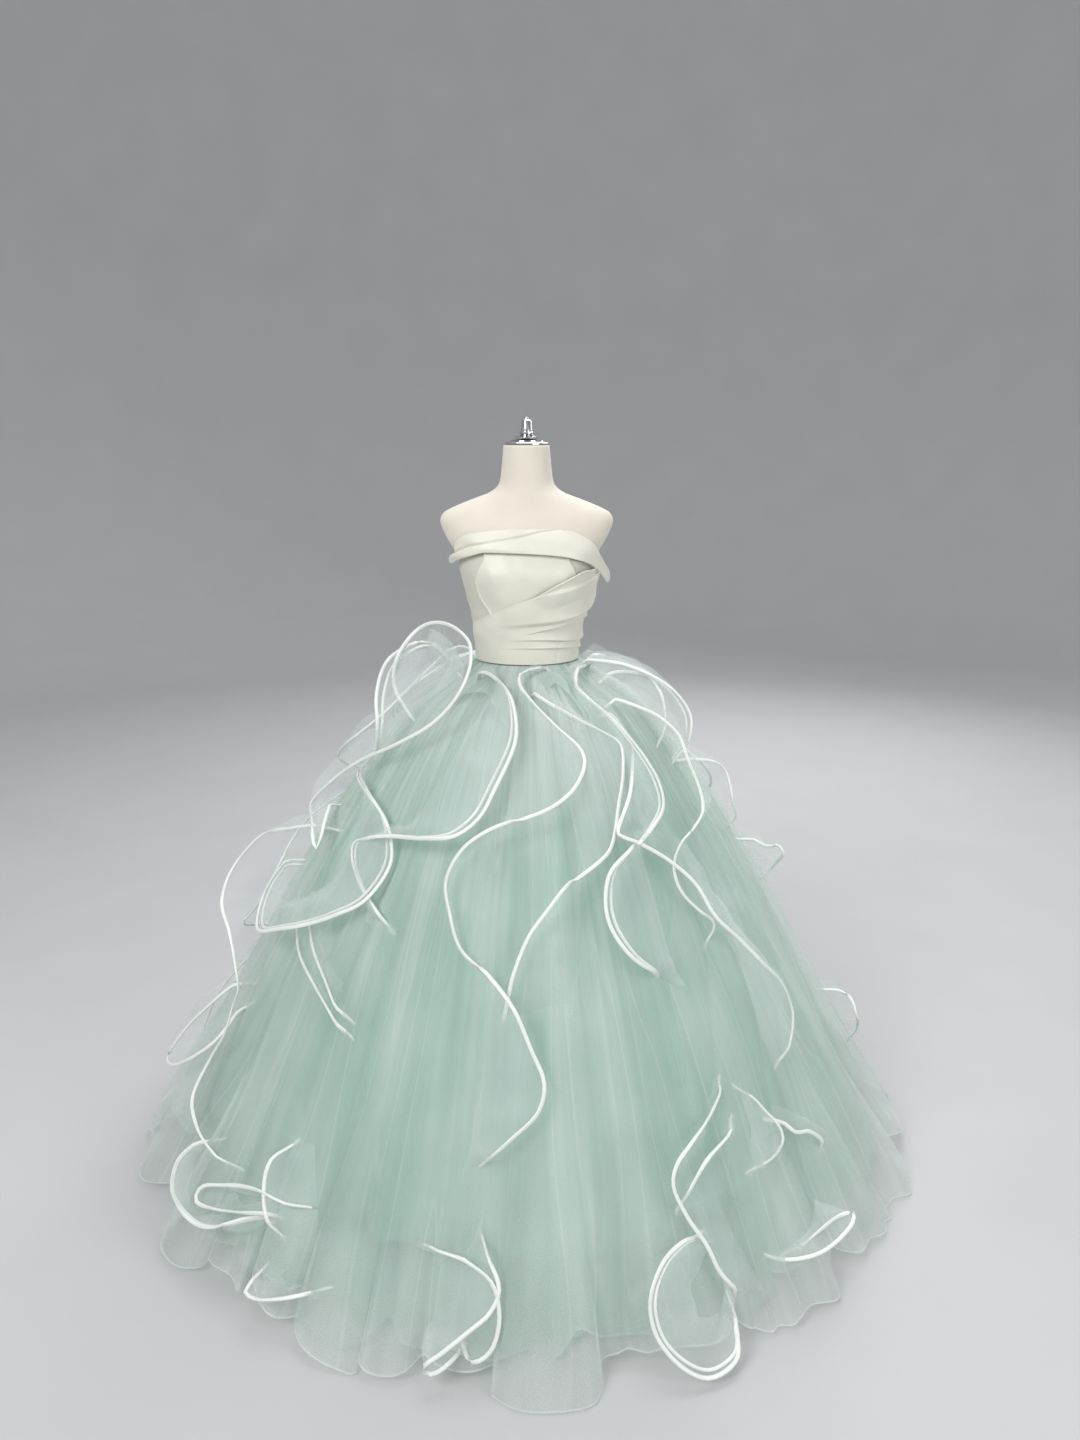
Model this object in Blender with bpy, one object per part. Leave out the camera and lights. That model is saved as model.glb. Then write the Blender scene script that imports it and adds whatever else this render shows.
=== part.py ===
"""Strapless ball gown with a tulle skirt and bound cascading ruffles, standing on a limbless dress form.

Units are metres. +Z is up, the front of the gown faces -Y and the origin is on the floor under the stand.
Azimuth is measured in degrees around the Z axis: 0 at the front, 90 at +X and 180 at the back.
In each table the first column is what the others are read against, and they vary smoothly between rows.
"""

import math

import bmesh
import bpy
import numpy as np

TULLE_THICKNESS = 0.0012    # wall of a tulle or lining panel
SATIN_THICKNESS = 0.0020    # wall of a satin piece
SEAM_GAP = 0.0004           # clear space on each side of a seam down the skirt
SATIN_SEAM_ANGLE = 0.25     # degrees left clear on each side of a seam down the bodice
WAIST_HEIGHT = 1.090        # top of the skirt
BODICE_FOOT = 1.0925        # bottom of the bodice
HEM_HEIGHT = 0.0045         # the hem hangs just clear of the floor
FORM_SIDES = 36             # flat sides round the form; the satin over it keeps to the same ones
TURNED_SIDES = 32           # sides of the finial, cap and foot

# height, half-width, depth in front, depth behind
FORM_RINGS = [
    (0.800, 0.138, 0.094, 0.100),
    (0.812, 0.150, 0.104, 0.112),
    (0.860, 0.162, 0.112, 0.123),
    (0.920, 0.163, 0.112, 0.125),
    (0.980, 0.150, 0.105, 0.117),
    (1.040, 0.124, 0.095, 0.099),
    (1.085, 0.1045, 0.0875, 0.0855),
    (1.120, 0.1050, 0.0875, 0.0830),
    (1.160, 0.1120, 0.0930, 0.0860),
    (1.200, 0.1200, 0.1040, 0.0910),
    (1.240, 0.1300, 0.1150, 0.0960),
    (1.280, 0.1400, 0.1200, 0.1000),
    (1.320, 0.1530, 0.1090, 0.1030),
    (1.360, 0.1750, 0.0890, 0.1040),
    (1.390, 0.1850, 0.0740, 0.0980),
    (1.405, 0.1780, 0.0670, 0.0900),
    (1.420, 0.1500, 0.0610, 0.0800),
    (1.435, 0.1120, 0.0570, 0.0700),
    (1.4487, 0.0766, 0.0540, 0.0600),
    (1.465, 0.0590, 0.0520, 0.0540),
    (1.480, 0.0550, 0.0510, 0.0520),
    (1.545, 0.0484, 0.0480, 0.0480),
]
HALF_WIDTH, FRONT_DEPTH, BACK_DEPTH = 1, 2, 3
LARGEST_RING_STEP = 0.035
BUST_RISE = 0.008
BUST_HEIGHT = 1.275
BUST_TALL = 0.042
BUST_AZIMUTH = 34
BUST_WIDE = 18

# radius, height
NECK_CAP_OUTLINE = [
    (0.0440, 1.5454), (0.0468, 1.5462), (0.0468, 1.5490), (0.0440, 1.5508),
    (0.0350, 1.5522), (0.0345, 1.5545), (0.0200, 1.5570), (0.0120, 1.5574),
]
FINIAL_OUTLINE = [
    (0.0110, 1.5580), (0.0262, 1.5588), (0.0268, 1.5612), (0.0180, 1.5640),
    (0.0120, 1.5660), (0.0150, 1.5685), (0.0150, 1.5710), (0.0112, 1.5735),
    (0.0122, 1.5760), (0.0104, 1.5785), (0.0104, 1.5930), (0.0085, 1.5960),
    (0.0040, 1.5975), (0.0035, 1.6005), (0.0015, 1.6020),
]
SOCKET_OUTLINE = [(0.030, 0.7700), (0.034, 0.7740), (0.034, 0.7920), (0.060, 0.7945), (0.060, 0.7990)]
POLE_OUTLINE = [(0.0160, 0.0252), (0.0160, 0.7694)]
BASE_OUTLINE = [
    (0.1740, 0.0000), (0.1780, 0.0030), (0.1780, 0.0090), (0.1700, 0.0140), (0.0400, 0.0200), (0.0300, 0.0246),
]

# name, first azimuth, last azimuth, rows of facets
BODICE_PANELS = [
    ("bodice_front", -30, 30, 8),
    ("bodice_side_front_left", -90, -30, 8),
    ("bodice_side_front_right", 30, 90, 8),
    ("bodice_back_left", -180, -90, 5),
    ("bodice_back_right", 90, 180, 5),
]
BODICE_CLEARANCE = 0.0032
# distance round from the front in degrees, height
NECKLINE = [(0, 1.366), (15, 1.366), (42, 1.352), (60, 1.320), (80, 1.290), (100, 1.272), (140, 1.262), (180, 1.262)]
# azimuth, height of the upper edge, how far the pleats stand out
DRAPE_EDGE = [
    (-80, 1.170, 0.0012),
    (-40, 1.195, 0.0024),
    (0, 1.232, 0.0035),
    (30, 1.272, 0.0042),
    (60, 1.286, 0.0048),
    (80, 1.280, 0.0050),
]
DRAPE_CLEARANCE = 0.0078
DRAPE_PLEATS = 3.5
DRAPE_PLAIN_SHARE = 0.3
DRAPE_ROWS = 10
# azimuth, lower edge, upper edge, distance off the form
CUFF_UNDER_EDGES = [
    (-80, 1.300, 1.306, 0.0110),
    (-60, 1.318, 1.342, 0.0095),
    (-40, 1.334, 1.367, 0.0080),
    (-15, 1.340, 1.373, 0.0080),
    (20, 1.340, 1.374, 0.0080),
]
CUFF_OVER_EDGES = [
    (-80, 1.296, 1.302, 0.0160),
    (-50, 1.318, 1.345, 0.0145),
    (0, 1.327, 1.360, 0.0124),
    (25, 1.322, 1.371, 0.0140),
    (45, 1.314, 1.362, 0.0180),
    (62, 1.292, 1.332, 0.0265),
    (80, 1.258, 1.268, 0.0442),
]
CUFF_ROWS = 2

# height, radius of the lining, of the inner tulle and of the outer tulle
SKIRT_RADII = [
    (1.090, 0.1075, 0.1105, 0.1135),
    (1.050, 0.158, 0.166, 0.175),
    (1.016, 0.194, 0.212, 0.229),
    (0.950, 0.238, 0.264, 0.290),
    (0.854, 0.290, 0.330, 0.362),
    (0.780, 0.326, 0.376, 0.412),
    (0.636, 0.388, 0.452, 0.500),
    (0.460, 0.455, 0.540, 0.604),
    (0.225, 0.540, 0.655, 0.735),
    (0.000, 0.620, 0.765, 0.868),
]
# name, column of its radius, depth of its folds at the hem, panels, columns of facets in a panel
SKIRT_LAYERS = [
    ("lining", 1, 0.008, 4, 6),
    ("inner_tulle", 2, 0.014, 4, 8),
    ("outer_tulle", 3, 0.024, 6, 10),
]
OUTER_COLUMN, OUTER_FOLD = SKIRT_LAYERS[-1][1:3]
FOLD_COUNT = 12
FIRST_SEAM_AZIMUTH = 15
PANEL_HEIGHTS = [WAIST_HEIGHT, 1.045, 0.975, 0.850, 0.630, 0.320, HEM_HEIGHT]
# height, depth of the skirt from front to back as a share of its width
SKIRT_OVAL = [(0.93, 1.0), (1.02, 0.93), (1.09, 0.84)]

# name, azimuth at the waist, azimuth at the hem, how far it stands off the skirt as a share of its width
RUFFLES = [
    ("left_back", -101, -104, 0.55),
    ("left_outer", -78, -80, 0.75),
    ("left_front", -55, -57, 0.50),
    ("front_left", -31, -33, 0.40),
    ("front_centre", -6, -8, 0.35),
    ("front_right", 15, 14, 0.35),
    ("right_inner", 35, 34, 0.40),
    ("right_front", 56, 55, 0.50),
    ("right_outer", 79, 79, 0.75),
    ("right_back", 103, 105, 0.55),
    ("back_right", 132, 132, 0.40),
    ("back_right_centre", 163, 162, 0.40),
    ("back_left_centre", -166, -165, 0.40),
    ("back_left", -134, -134, 0.40),
]
# height, side that the free edge swings to (-1 left, 1 right), width of the ruffle
RUFFLE_SWINGS = [
    (1.070, -0.30, 0.050),
    (1.035, -0.70, 0.075),
    (0.950, 1.00, 0.105),
    (0.730, -1.00, 0.150),
    (0.460, 1.00, 0.160),
    (0.270, -1.00, 0.150),
    (0.100, 1.00, 0.120),
    (0.030, 0.60, 0.100),
]
RUFFLE_HEIGHTS = [
    1.070, 1.030, 0.990, 0.950, 0.885, 0.830, 0.780, 0.730, 0.655,
    0.590, 0.530, 0.460, 0.365, 0.270, 0.180, 0.095, 0.030,
]
RUFFLE_CLEARANCE = 0.007    # the sewn edge of a ruffle above the outer tulle's folds
RUFFLE_RISE = 0.008         # the free edge above the sewn one where it lies flat
RUFFLE_BOW = 0.012          # how far the ruffle's middle bulges
LARGEST_TURN = 14.5         # degrees that a ruffle may reach to either side of its seam
BINDING_WIDTH = 0.0075
BINDING_THICKNESS = 0.003
BINDING_GAP = 0.0028        # clear of the tulle's raw edge, where the ruffle turns most

# colour, metalness, roughness
MATERIALS = {
    "form_jersey": ((0.80, 0.75, 0.66), 0.0, 0.85),
    "chrome": ((0.80, 0.80, 0.82), 1.0, 0.12),
    "stand_paint": ((0.05, 0.05, 0.05), 0.0, 0.50),
    "bodice_satin": ((0.84, 0.82, 0.73), 0.0, 0.38),
    "binding_satin": ((0.90, 0.92, 0.88), 0.0, 0.40),
    "lining_mint": ((0.62, 0.80, 0.70), 0.0, 0.70),
    "tulle": ((0.78, 0.88, 0.82), 0.0, 0.80),
}


def clear_scene():
    """Removes whatever the file starts with."""
    for thing in list(bpy.data.objects):
        bpy.data.objects.remove(thing, do_unlink=True)


def make_material(name):
    """A plain shader with the named colour, metalness and roughness."""
    colour, metallic, roughness = MATERIALS[name]
    material = bpy.data.materials.new(name)
    material.use_nodes = True
    shader = material.node_tree.nodes["Principled BSDF"]
    shader.inputs["Base Color"].default_value = (*colour, 1.0)
    shader.inputs["Metallic"].default_value = metallic
    shader.inputs["Roughness"].default_value = roughness
    return material


def read(table, column, x):
    """One column of a table at x, on a smooth curve through its rows that never overshoots them."""
    rows = sorted(table)
    xs = np.array([row[0] for row in rows], float)
    ys = np.array([row[column] for row in rows], float)
    steps = np.diff(xs)
    rises = np.diff(ys) / steps
    slopes = np.concatenate([rises[:1], np.zeros(len(xs) - 2), rises[-1:]])
    for i in range(1, len(xs) - 1):
        if rises[i - 1] * rises[i] > 0:
            slopes[i] = 2 * rises[i - 1] * rises[i] / (rises[i - 1] + rises[i])
    place = int(np.clip(np.searchsorted(xs, x) - 1, 0, len(xs) - 2))
    t = float(np.clip((x - xs[place]) / steps[place], 0, 1))
    leaving = (1 + 2 * t) * (1 - t) ** 2 * ys[place] + t * (1 - t) ** 2 * steps[place] * slopes[place]
    arriving = t * t * (3 - 2 * t) * ys[place + 1] + t * t * (t - 1) * steps[place] * slopes[place + 1]
    return leaving + arriving


def wrap(azimuth):
    """The same azimuth, between -180 and 180 degrees."""
    return (azimuth + 180) % 360 - 180


def add_object(name, points, faces, material):
    """Adds one closed mesh object, with its faces turned outwards."""
    mesh = bpy.data.meshes.new(name)
    mesh.from_pydata([tuple(float(v) for v in p) for p in points], [], faces)
    shape = bmesh.new()
    shape.from_mesh(mesh)
    bmesh.ops.triangulate(shape, faces=shape.faces)
    bmesh.ops.recalc_face_normals(shape, faces=shape.faces)
    if shape.calc_volume(signed=True) < 0:
        bmesh.ops.reverse_faces(shape, faces=shape.faces)
    shape.to_mesh(mesh)
    shape.free()
    mesh.materials.append(material)
    mesh.shade_smooth()
    thing = bpy.data.objects.new(name, mesh)
    bpy.context.scene.collection.objects.link(thing)


def add_wall(name, outside, inside, material):
    """Adds a thin wall between two grids of points of the same shape."""
    rows, columns = outside.shape[:2]
    points = list(outside.reshape(-1, 3)) + list(inside.reshape(-1, 3))

    def corner(row, column, side):
        return row * columns + column + side * rows * columns

    faces = []
    for row in range(rows - 1):
        for column in range(columns - 1):
            for side in (0, 1):
                faces.append([
                    corner(row, column, side),
                    corner(row, column + 1, side),
                    corner(row + 1, column + 1, side),
                    corner(row + 1, column, side),
                ])
    border = [(0, c) for c in range(columns)]
    border += [(r, columns - 1) for r in range(1, rows)]
    border += [(rows - 1, c) for c in range(columns - 2, -1, -1)]
    border += [(r, 0) for r in range(rows - 2, 0, -1)]
    for here, there in zip(border, border[1:] + border[:1]):
        faces.append([corner(*here, 0), corner(*there, 0), corner(*there, 1), corner(*here, 1)])
    add_object(name, points, faces, material)


def add_rings(name, rings, material):
    """Adds a solid that joins rings of points, from the first ring to the last, with flat ends."""
    count = len(rings[0])
    points = [point for ring in rings for point in ring]
    faces = []
    for level in range(len(rings) - 1):
        low = level * count
        high = low + count
        for i in range(count):
            j = (i + 1) % count
            faces.append([low + i, low + j, high + j, high + i])
    faces.append(list(range(count)))
    faces.append(list(range((len(rings) - 1) * count, len(rings) * count)))
    add_object(name, points, faces, material)


def add_turned(name, outline, material):
    """Adds a solid turned about the Z axis from an outline that runs from its foot to its top."""
    turns = [2 * math.pi * i / TURNED_SIDES for i in range(TURNED_SIDES)]
    rings = [[(radius * math.sin(t), -radius * math.cos(t), height) for t in turns] for radius, height in outline]
    add_rings(name, rings, material)


def form_point(azimuth, height, offset=0.0):
    """A point on the dress form, moved outwards by offset in its own level."""
    angle = math.radians(azimuth)
    half_width = read(FORM_RINGS, HALF_WIDTH, height)
    depth = read(FORM_RINGS, FRONT_DEPTH if math.cos(angle) > 0 else BACK_DEPTH, height)
    point = np.array([half_width * math.sin(angle), -depth * math.cos(angle), height])
    outward = np.array([math.sin(angle) / half_width, -math.cos(angle) / depth, 0.0])
    outward /= np.linalg.norm(outward)
    bust = BUST_RISE * math.exp(-(((height - BUST_HEIGHT) / BUST_TALL) ** 2))
    bust *= math.exp(-(((abs(wrap(azimuth)) - BUST_AZIMUTH) / BUST_WIDE) ** 2))
    return point + outward * (offset + bust)


def build_form(materials):
    """The limbless form, its chrome top and its stand."""
    levels = [FORM_RINGS[0][0]]
    for ring in FORM_RINGS[1:]:
        if ring[0] - levels[-1] > LARGEST_RING_STEP:
            levels.append((levels[-1] + ring[0]) / 2)
        levels.append(ring[0])
    azimuths = [360 * i / FORM_SIDES for i in range(FORM_SIDES)]
    rings = [[form_point(azimuth, level) for azimuth in azimuths] for level in levels]
    add_rings("form_torso", rings, materials["form_jersey"])
    add_turned("form_neck_cap", NECK_CAP_OUTLINE, materials["chrome"])
    add_turned("form_finial", FINIAL_OUTLINE, materials["chrome"])
    add_turned("form_socket", SOCKET_OUTLINE, materials["stand_paint"])
    add_turned("form_pole", POLE_OUTLINE, materials["stand_paint"])
    add_turned("form_base", BASE_OUTLINE, materials["stand_paint"])


def add_satin(name, azimuths, low_edge, high_edge, rows, offset, material):
    """Adds a satin wall over the form. The edges and the offset are functions of the azimuth, and the
    offset also of the share of the way up."""
    inside = np.zeros((rows + 1, len(azimuths), 3))
    outside = np.zeros_like(inside)
    for column, azimuth in enumerate(azimuths):
        low = low_edge(azimuth)
        high = high_edge(azimuth)
        for row in range(rows + 1):
            share = row / rows
            height = low + (high - low) * share
            clearance = offset(azimuth, share)
            inside[row, column] = form_point(azimuth, height, clearance)
            outside[row, column] = form_point(azimuth, height, clearance + SATIN_THICKNESS)
    add_wall(name, outside, inside, material)


def drape_offset(azimuth, share):
    """Distance of the drape off the form: plain at the waist, with pleats that deepen towards the right."""
    depth = read(DRAPE_EDGE, 2, azimuth)
    fold = max(0.0, math.sin(share * DRAPE_PLEATS * 2 * math.pi))
    return DRAPE_CLEARANCE + depth * fold * min(1.0, share / DRAPE_PLAIN_SHARE)


def build_bodice(materials):
    """Five satin panels, the pleated drape over them and the two plies of the neckline's cuff."""
    satin = materials["bodice_satin"]
    facet = 360 / FORM_SIDES
    for name, start, end, rows in BODICE_PANELS:
        azimuths = np.arange(start, end + facet / 2, facet)
        azimuths[0] += SATIN_SEAM_ANGLE
        azimuths[-1] -= SATIN_SEAM_ANGLE
        add_satin(
            name, azimuths,
            lambda azimuth: BODICE_FOOT,
            lambda azimuth: read(NECKLINE, 1, abs(azimuth)),
            rows,
            lambda azimuth, share: BODICE_CLEARANCE,
            satin,
        )
    add_satin(
        "bodice_drape", np.arange(DRAPE_EDGE[0][0], DRAPE_EDGE[-1][0] + facet / 2, facet),
        lambda azimuth: BODICE_FOOT,
        lambda azimuth: read(DRAPE_EDGE, 1, azimuth),
        DRAPE_ROWS,
        drape_offset,
        satin,
    )
    for name, edges in (("cuff_under", CUFF_UNDER_EDGES), ("cuff_over", CUFF_OVER_EDGES)):
        add_satin(
            name, np.arange(edges[0][0], edges[-1][0] + facet / 2, facet),
            lambda azimuth: read(edges, 1, azimuth),
            lambda azimuth: read(edges, 2, azimuth),
            CUFF_ROWS,
            lambda azimuth, share: read(edges, 3, azimuth),
            satin,
        )


def skirt_point(radius_column, fold_depth, azimuth, height):
    """A point on the outside of a skirt layer, which is oval at the waist, round below it and folded."""
    angle = math.radians(azimuth)
    fullness = 1 - height / WAIST_HEIGHT
    radius = read(SKIRT_RADII, radius_column, height) + fold_depth * fullness * math.cos(FOLD_COUNT * angle)
    return np.array([radius * math.sin(angle), -radius * read(SKIRT_OVAL, 1, height) * math.cos(angle), height])


def skirt_normal(radius_column, fold_depth, azimuth, height):
    """The outward direction of a skirt layer."""
    above = skirt_point(radius_column, fold_depth, azimuth, min(height + 0.004, WAIST_HEIGHT))
    below = skirt_point(radius_column, fold_depth, azimuth, max(height - 0.004, 0.0))
    right = skirt_point(radius_column, fold_depth, azimuth + 0.5, height)
    left = skirt_point(radius_column, fold_depth, azimuth - 0.5, height)
    normal = np.cross(right - left, above - below)
    return normal / np.linalg.norm(normal)


def build_skirt(materials):
    """Lining, inner tulle and outer tulle, each in panels that meet at seams down the skirt.
    A panel's inner face is moved in along its own level, so that its top and hem stay flat."""
    for name, radius_column, fold_depth, panels, columns in SKIRT_LAYERS:
        material = materials["lining_mint" if name == "lining" else "tulle"]
        width = 360 / panels
        for number in range(panels):
            start = FIRST_SEAM_AZIMUTH + number * width
            outside = np.zeros((len(PANEL_HEIGHTS), columns + 1, 3))
            inside = np.zeros_like(outside)
            for row, height in enumerate(PANEL_HEIGHTS):
                gap = math.degrees(SEAM_GAP / read(SKIRT_RADII, radius_column, height))
                for column, azimuth in enumerate(np.linspace(start + gap, start + width - gap, columns + 1)):
                    normal = skirt_normal(radius_column, fold_depth, azimuth, height)
                    level = normal * (1, 1, 0)
                    steepness = max(0.45, np.linalg.norm(level))
                    level /= np.linalg.norm(level)
                    outside[row, column] = skirt_point(radius_column, fold_depth, azimuth, height)
                    inside[row, column] = outside[row, column] - level * TULLE_THICKNESS / steepness
            add_wall(f"{name}_{number + 1}", outside, inside, material)


def ruffle_point(azimuth, height, sideways, lift):
    """A point sideways from a ruffle's seam and lifted off the outer tulle, both in metres."""
    turned = azimuth + math.degrees(sideways / read(SKIRT_RADII, OUTER_COLUMN, height))
    fullness = 1 - height / WAIST_HEIGHT
    below_crest = OUTER_FOLD * fullness * (1 - math.cos(FOLD_COUNT * math.radians(turned)))
    normal = skirt_normal(OUTER_COLUMN, OUTER_FOLD, turned, height)
    return skirt_point(OUTER_COLUMN, OUTER_FOLD, turned, height) + normal * (lift + below_crest)


def ruffle_middle(top_azimuth, hem_azimuth, stand):
    """The middle surface of a ruffle: its free edge swings from side to side and stands off as it crosses."""
    strips = []
    for height in RUFFLE_HEIGHTS:
        azimuth = hem_azimuth + (top_azimuth - hem_azimuth) * height / WAIST_HEIGHT
        side = read(RUFFLE_SWINGS, 1, height)
        width = read(RUFFLE_SWINGS, 2, height)
        reach = side * min(width, read(SKIRT_RADII, OUTER_COLUMN, height) * math.radians(LARGEST_TURN))
        lift = RUFFLE_RISE + stand * width * math.sqrt(1 - side * side)
        strip = []
        for share in (0.0, 0.5, 1.0):
            bulge = RUFFLE_BOW * math.sin(math.pi * share)
            strip.append(ruffle_point(azimuth, height, reach * share, RUFFLE_CLEARANCE + lift * share + bulge))
        strips.append(strip)
    return np.array(strips)


def build_ruffles(materials):
    """Ruffles that cascade from waist to hem, and the satin binding along each free edge.
    A binding keeps its flat sides turned the same way from station to station, so it never twists."""
    for name, top_azimuth, hem_azimuth, stand in RUFFLES:
        middle = ruffle_middle(top_azimuth, hem_azimuth, stand)
        sideways = np.gradient(middle, axis=1)
        normals = np.cross(np.gradient(middle, axis=0), sideways)
        normals /= np.linalg.norm(normals, axis=2)[:, :, None]
        half_wall = normals * TULLE_THICKNESS / 2
        add_wall(f"ruffle_{name}", middle + half_wall, middle - half_wall, materials["tulle"])

        edge = middle[:, -1]
        tangents = np.gradient(edge, axis=0)
        flat = sideways[0, -1]
        rings = []
        for point, tangent, direction in zip(edge, tangents, edge - middle[:, 0]):
            tangent /= np.linalg.norm(tangent)
            out = direction - tangent * (direction @ tangent)
            out /= np.linalg.norm(out)
            centre = point + out * (BINDING_WIDTH / 2 + BINDING_GAP)
            flat = flat - tangent * (flat @ tangent)
            flat /= np.linalg.norm(flat)
            thick = np.cross(tangent, flat)
            rings.append([
                centre + flat * BINDING_WIDTH / 2,
                centre + thick * BINDING_THICKNESS / 2,
                centre - flat * BINDING_WIDTH / 2,
                centre - thick * BINDING_THICKNESS / 2,
            ])
        add_rings(f"binding_{name}", rings, materials["binding_satin"])


def main():
    """Builds the whole part."""
    clear_scene()
    materials = {name: make_material(name) for name in MATERIALS}
    build_form(materials)
    build_bodice(materials)
    build_skirt(materials)
    build_ruffles(materials)


main()
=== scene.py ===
"""Looks for a strapless ball gown with a tulle skirt and bound cascading ruffles, on a limbless dress form.

Units are metres and azimuths are degrees around +Z: 0 at the front (-Y), 90 at +X and 180 at the back.
Every garment piece is a fine cloth surface in the place of its CAD solid. In each table the first
column is what the others are read against, unless the table is a path, whose rows are in order.
"""

import math

import bpy
import numpy as np
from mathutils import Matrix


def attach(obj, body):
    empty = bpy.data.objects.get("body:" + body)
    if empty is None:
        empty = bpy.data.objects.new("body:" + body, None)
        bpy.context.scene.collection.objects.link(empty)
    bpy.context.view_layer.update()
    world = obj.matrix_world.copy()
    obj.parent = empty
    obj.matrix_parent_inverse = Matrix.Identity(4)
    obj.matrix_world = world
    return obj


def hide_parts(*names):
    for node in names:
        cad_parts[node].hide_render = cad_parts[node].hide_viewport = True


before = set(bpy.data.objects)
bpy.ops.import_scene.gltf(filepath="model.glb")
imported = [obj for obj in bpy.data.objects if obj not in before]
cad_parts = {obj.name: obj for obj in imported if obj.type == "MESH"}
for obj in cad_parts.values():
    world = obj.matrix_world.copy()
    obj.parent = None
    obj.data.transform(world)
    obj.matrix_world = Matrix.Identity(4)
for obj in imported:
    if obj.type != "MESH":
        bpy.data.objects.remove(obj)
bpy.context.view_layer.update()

WAIST_HEIGHT = 1.090
BODICE_FOOT = 1.0925

# height, half-width, depth in front, depth behind
FORM_RINGS = [
    (0.800, 0.138, 0.094, 0.100),
    (0.812, 0.150, 0.104, 0.112),
    (0.860, 0.162, 0.112, 0.123),
    (0.920, 0.163, 0.112, 0.125),
    (0.980, 0.150, 0.105, 0.117),
    (1.040, 0.124, 0.095, 0.099),
    (1.085, 0.1045, 0.0875, 0.0855),
    (1.120, 0.1050, 0.0875, 0.0830),
    (1.160, 0.1120, 0.0930, 0.0860),
    (1.200, 0.1200, 0.1040, 0.0910),
    (1.240, 0.1300, 0.1150, 0.0960),
    (1.280, 0.1400, 0.1200, 0.1000),
    (1.320, 0.1530, 0.1090, 0.1030),
    (1.360, 0.1750, 0.0890, 0.1040),
    (1.390, 0.1850, 0.0740, 0.0980),
    (1.405, 0.1780, 0.0670, 0.0900),
    (1.420, 0.1500, 0.0610, 0.0800),
    (1.435, 0.1120, 0.0570, 0.0700),
    (1.4487, 0.0766, 0.0540, 0.0600),
    (1.465, 0.0590, 0.0520, 0.0540),
    (1.480, 0.0550, 0.0510, 0.0520),
    (1.545, 0.0484, 0.0480, 0.0480),
]
HALF_WIDTH, FRONT_DEPTH, BACK_DEPTH = 1, 2, 3       # columns of FORM_RINGS
BUST_RISE = 0.008
BUST_HEIGHT = 1.275
BUST_TALL = 0.042
BUST_AZIMUTH = 34
BUST_WIDE = 18

# radius, height
NECK_CAP_OUTLINE = [
    (0.0440, 1.5454), (0.0468, 1.5462), (0.0468, 1.5490), (0.0440, 1.5508),
    (0.0350, 1.5522), (0.0345, 1.5545), (0.0200, 1.5570), (0.0120, 1.5574),
]
FINIAL_OUTLINE = [
    (0.0110, 1.5580), (0.0262, 1.5588), (0.0268, 1.5612), (0.0180, 1.5640),
    (0.0120, 1.5660), (0.0150, 1.5685), (0.0150, 1.5710), (0.0112, 1.5735),
    (0.0122, 1.5760), (0.0104, 1.5785), (0.0104, 1.5930), (0.0085, 1.5960),
    (0.0040, 1.5975), (0.0035, 1.6005), (0.0015, 1.6020),
]
TURNED_SIDES = 96
TORSO_RINGS = 120
TORSO_STEP = 3.0        # degrees between the torso's columns of points

# height, azimuth of the seam between the front and side-front panels
PRINCESS_SEAM = [
    (1.0925, 30), (1.160, 32), (1.204, 38), (1.241, 46), (1.265, 46.5), (1.290, 41), (1.320, 33), (1.366, 30),
]
# distance round from the front in degrees, height
NECKLINE = [
    (0, 1.366), (15, 1.366), (42, 1.352), (60, 1.320), (80, 1.290), (100, 1.272), (140, 1.262), (180, 1.262),
]
# azimuth, height of the drape's upper edge
DRAPE_EDGE = [
    (-84, 1.172), (-60, 1.182), (-38, 1.200), (-10, 1.226), (7, 1.240), (27, 1.270), (52, 1.292), (84, 1.292),
]
DRAPE_CLEARANCE = 0.0080
DRAPE_REACH = 88        # azimuth of its two ends
DRAPE_SINK = 0.0036     # how far its ends drop to meet the panels below
FOLD_FADE = 1.15        # how fast a fold fades above its line, for each of its widths
FOLD_LIP = 0.13         # how much of its width it turns under in below the line
RIDGE_RISE = 0.0100
RIDGE_ABOVE = 0.0065    # width of the ridge on its upper side
RIDGE_BELOW = 0.048
CAUGHT_UNTIL = -4       # the upper edge is sewn flat to the left of this azimuth
FREE_FROM = 10          # and stands free to the right of this one
DRAPE_SEAM_AZIMUTH = 35     # of the short upright seam below the folds
EDGE_RISE = 0.0050      # of the free upper edge on the right
# azimuth, height of the ridge below the hollow under the drape's upper edge
DRAPE_RIDGE = [(-4, 1.229), (19, 1.244), (60, 1.266), (84, 1.280)]
# the lines that the drape's folds hang over, each as azimuth, height
FOLD_LINES = {
    "long": [(-40, 1.176), (-27, 1.178), (7, 1.185), (36, 1.191), (60, 1.201), (74, 1.216), (84, 1.240)],
    "short": [(-14, 1.152), (13, 1.166), (38, 1.176), (60, 1.186)],
    "lower": [(-24, 1.143), (8, 1.147), (69, 1.139), (84, 1.146)],
    "waist": [(-26, 1.127), (4, 1.129), (63, 1.123), (84, 1.118)],
}
# name of the line, azimuth where the fold starts, where it is full, how proud it stands, its width above
DRAPE_FOLDS = [
    ("long", -44, 62, 0.0150, 0.055),
    ("short", -16, 30, 0.0062, 0.014),
    ("lower", -30, 40, 0.0072, 0.013),
    ("waist", -36, 30, 0.0052, 0.012),
]

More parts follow.
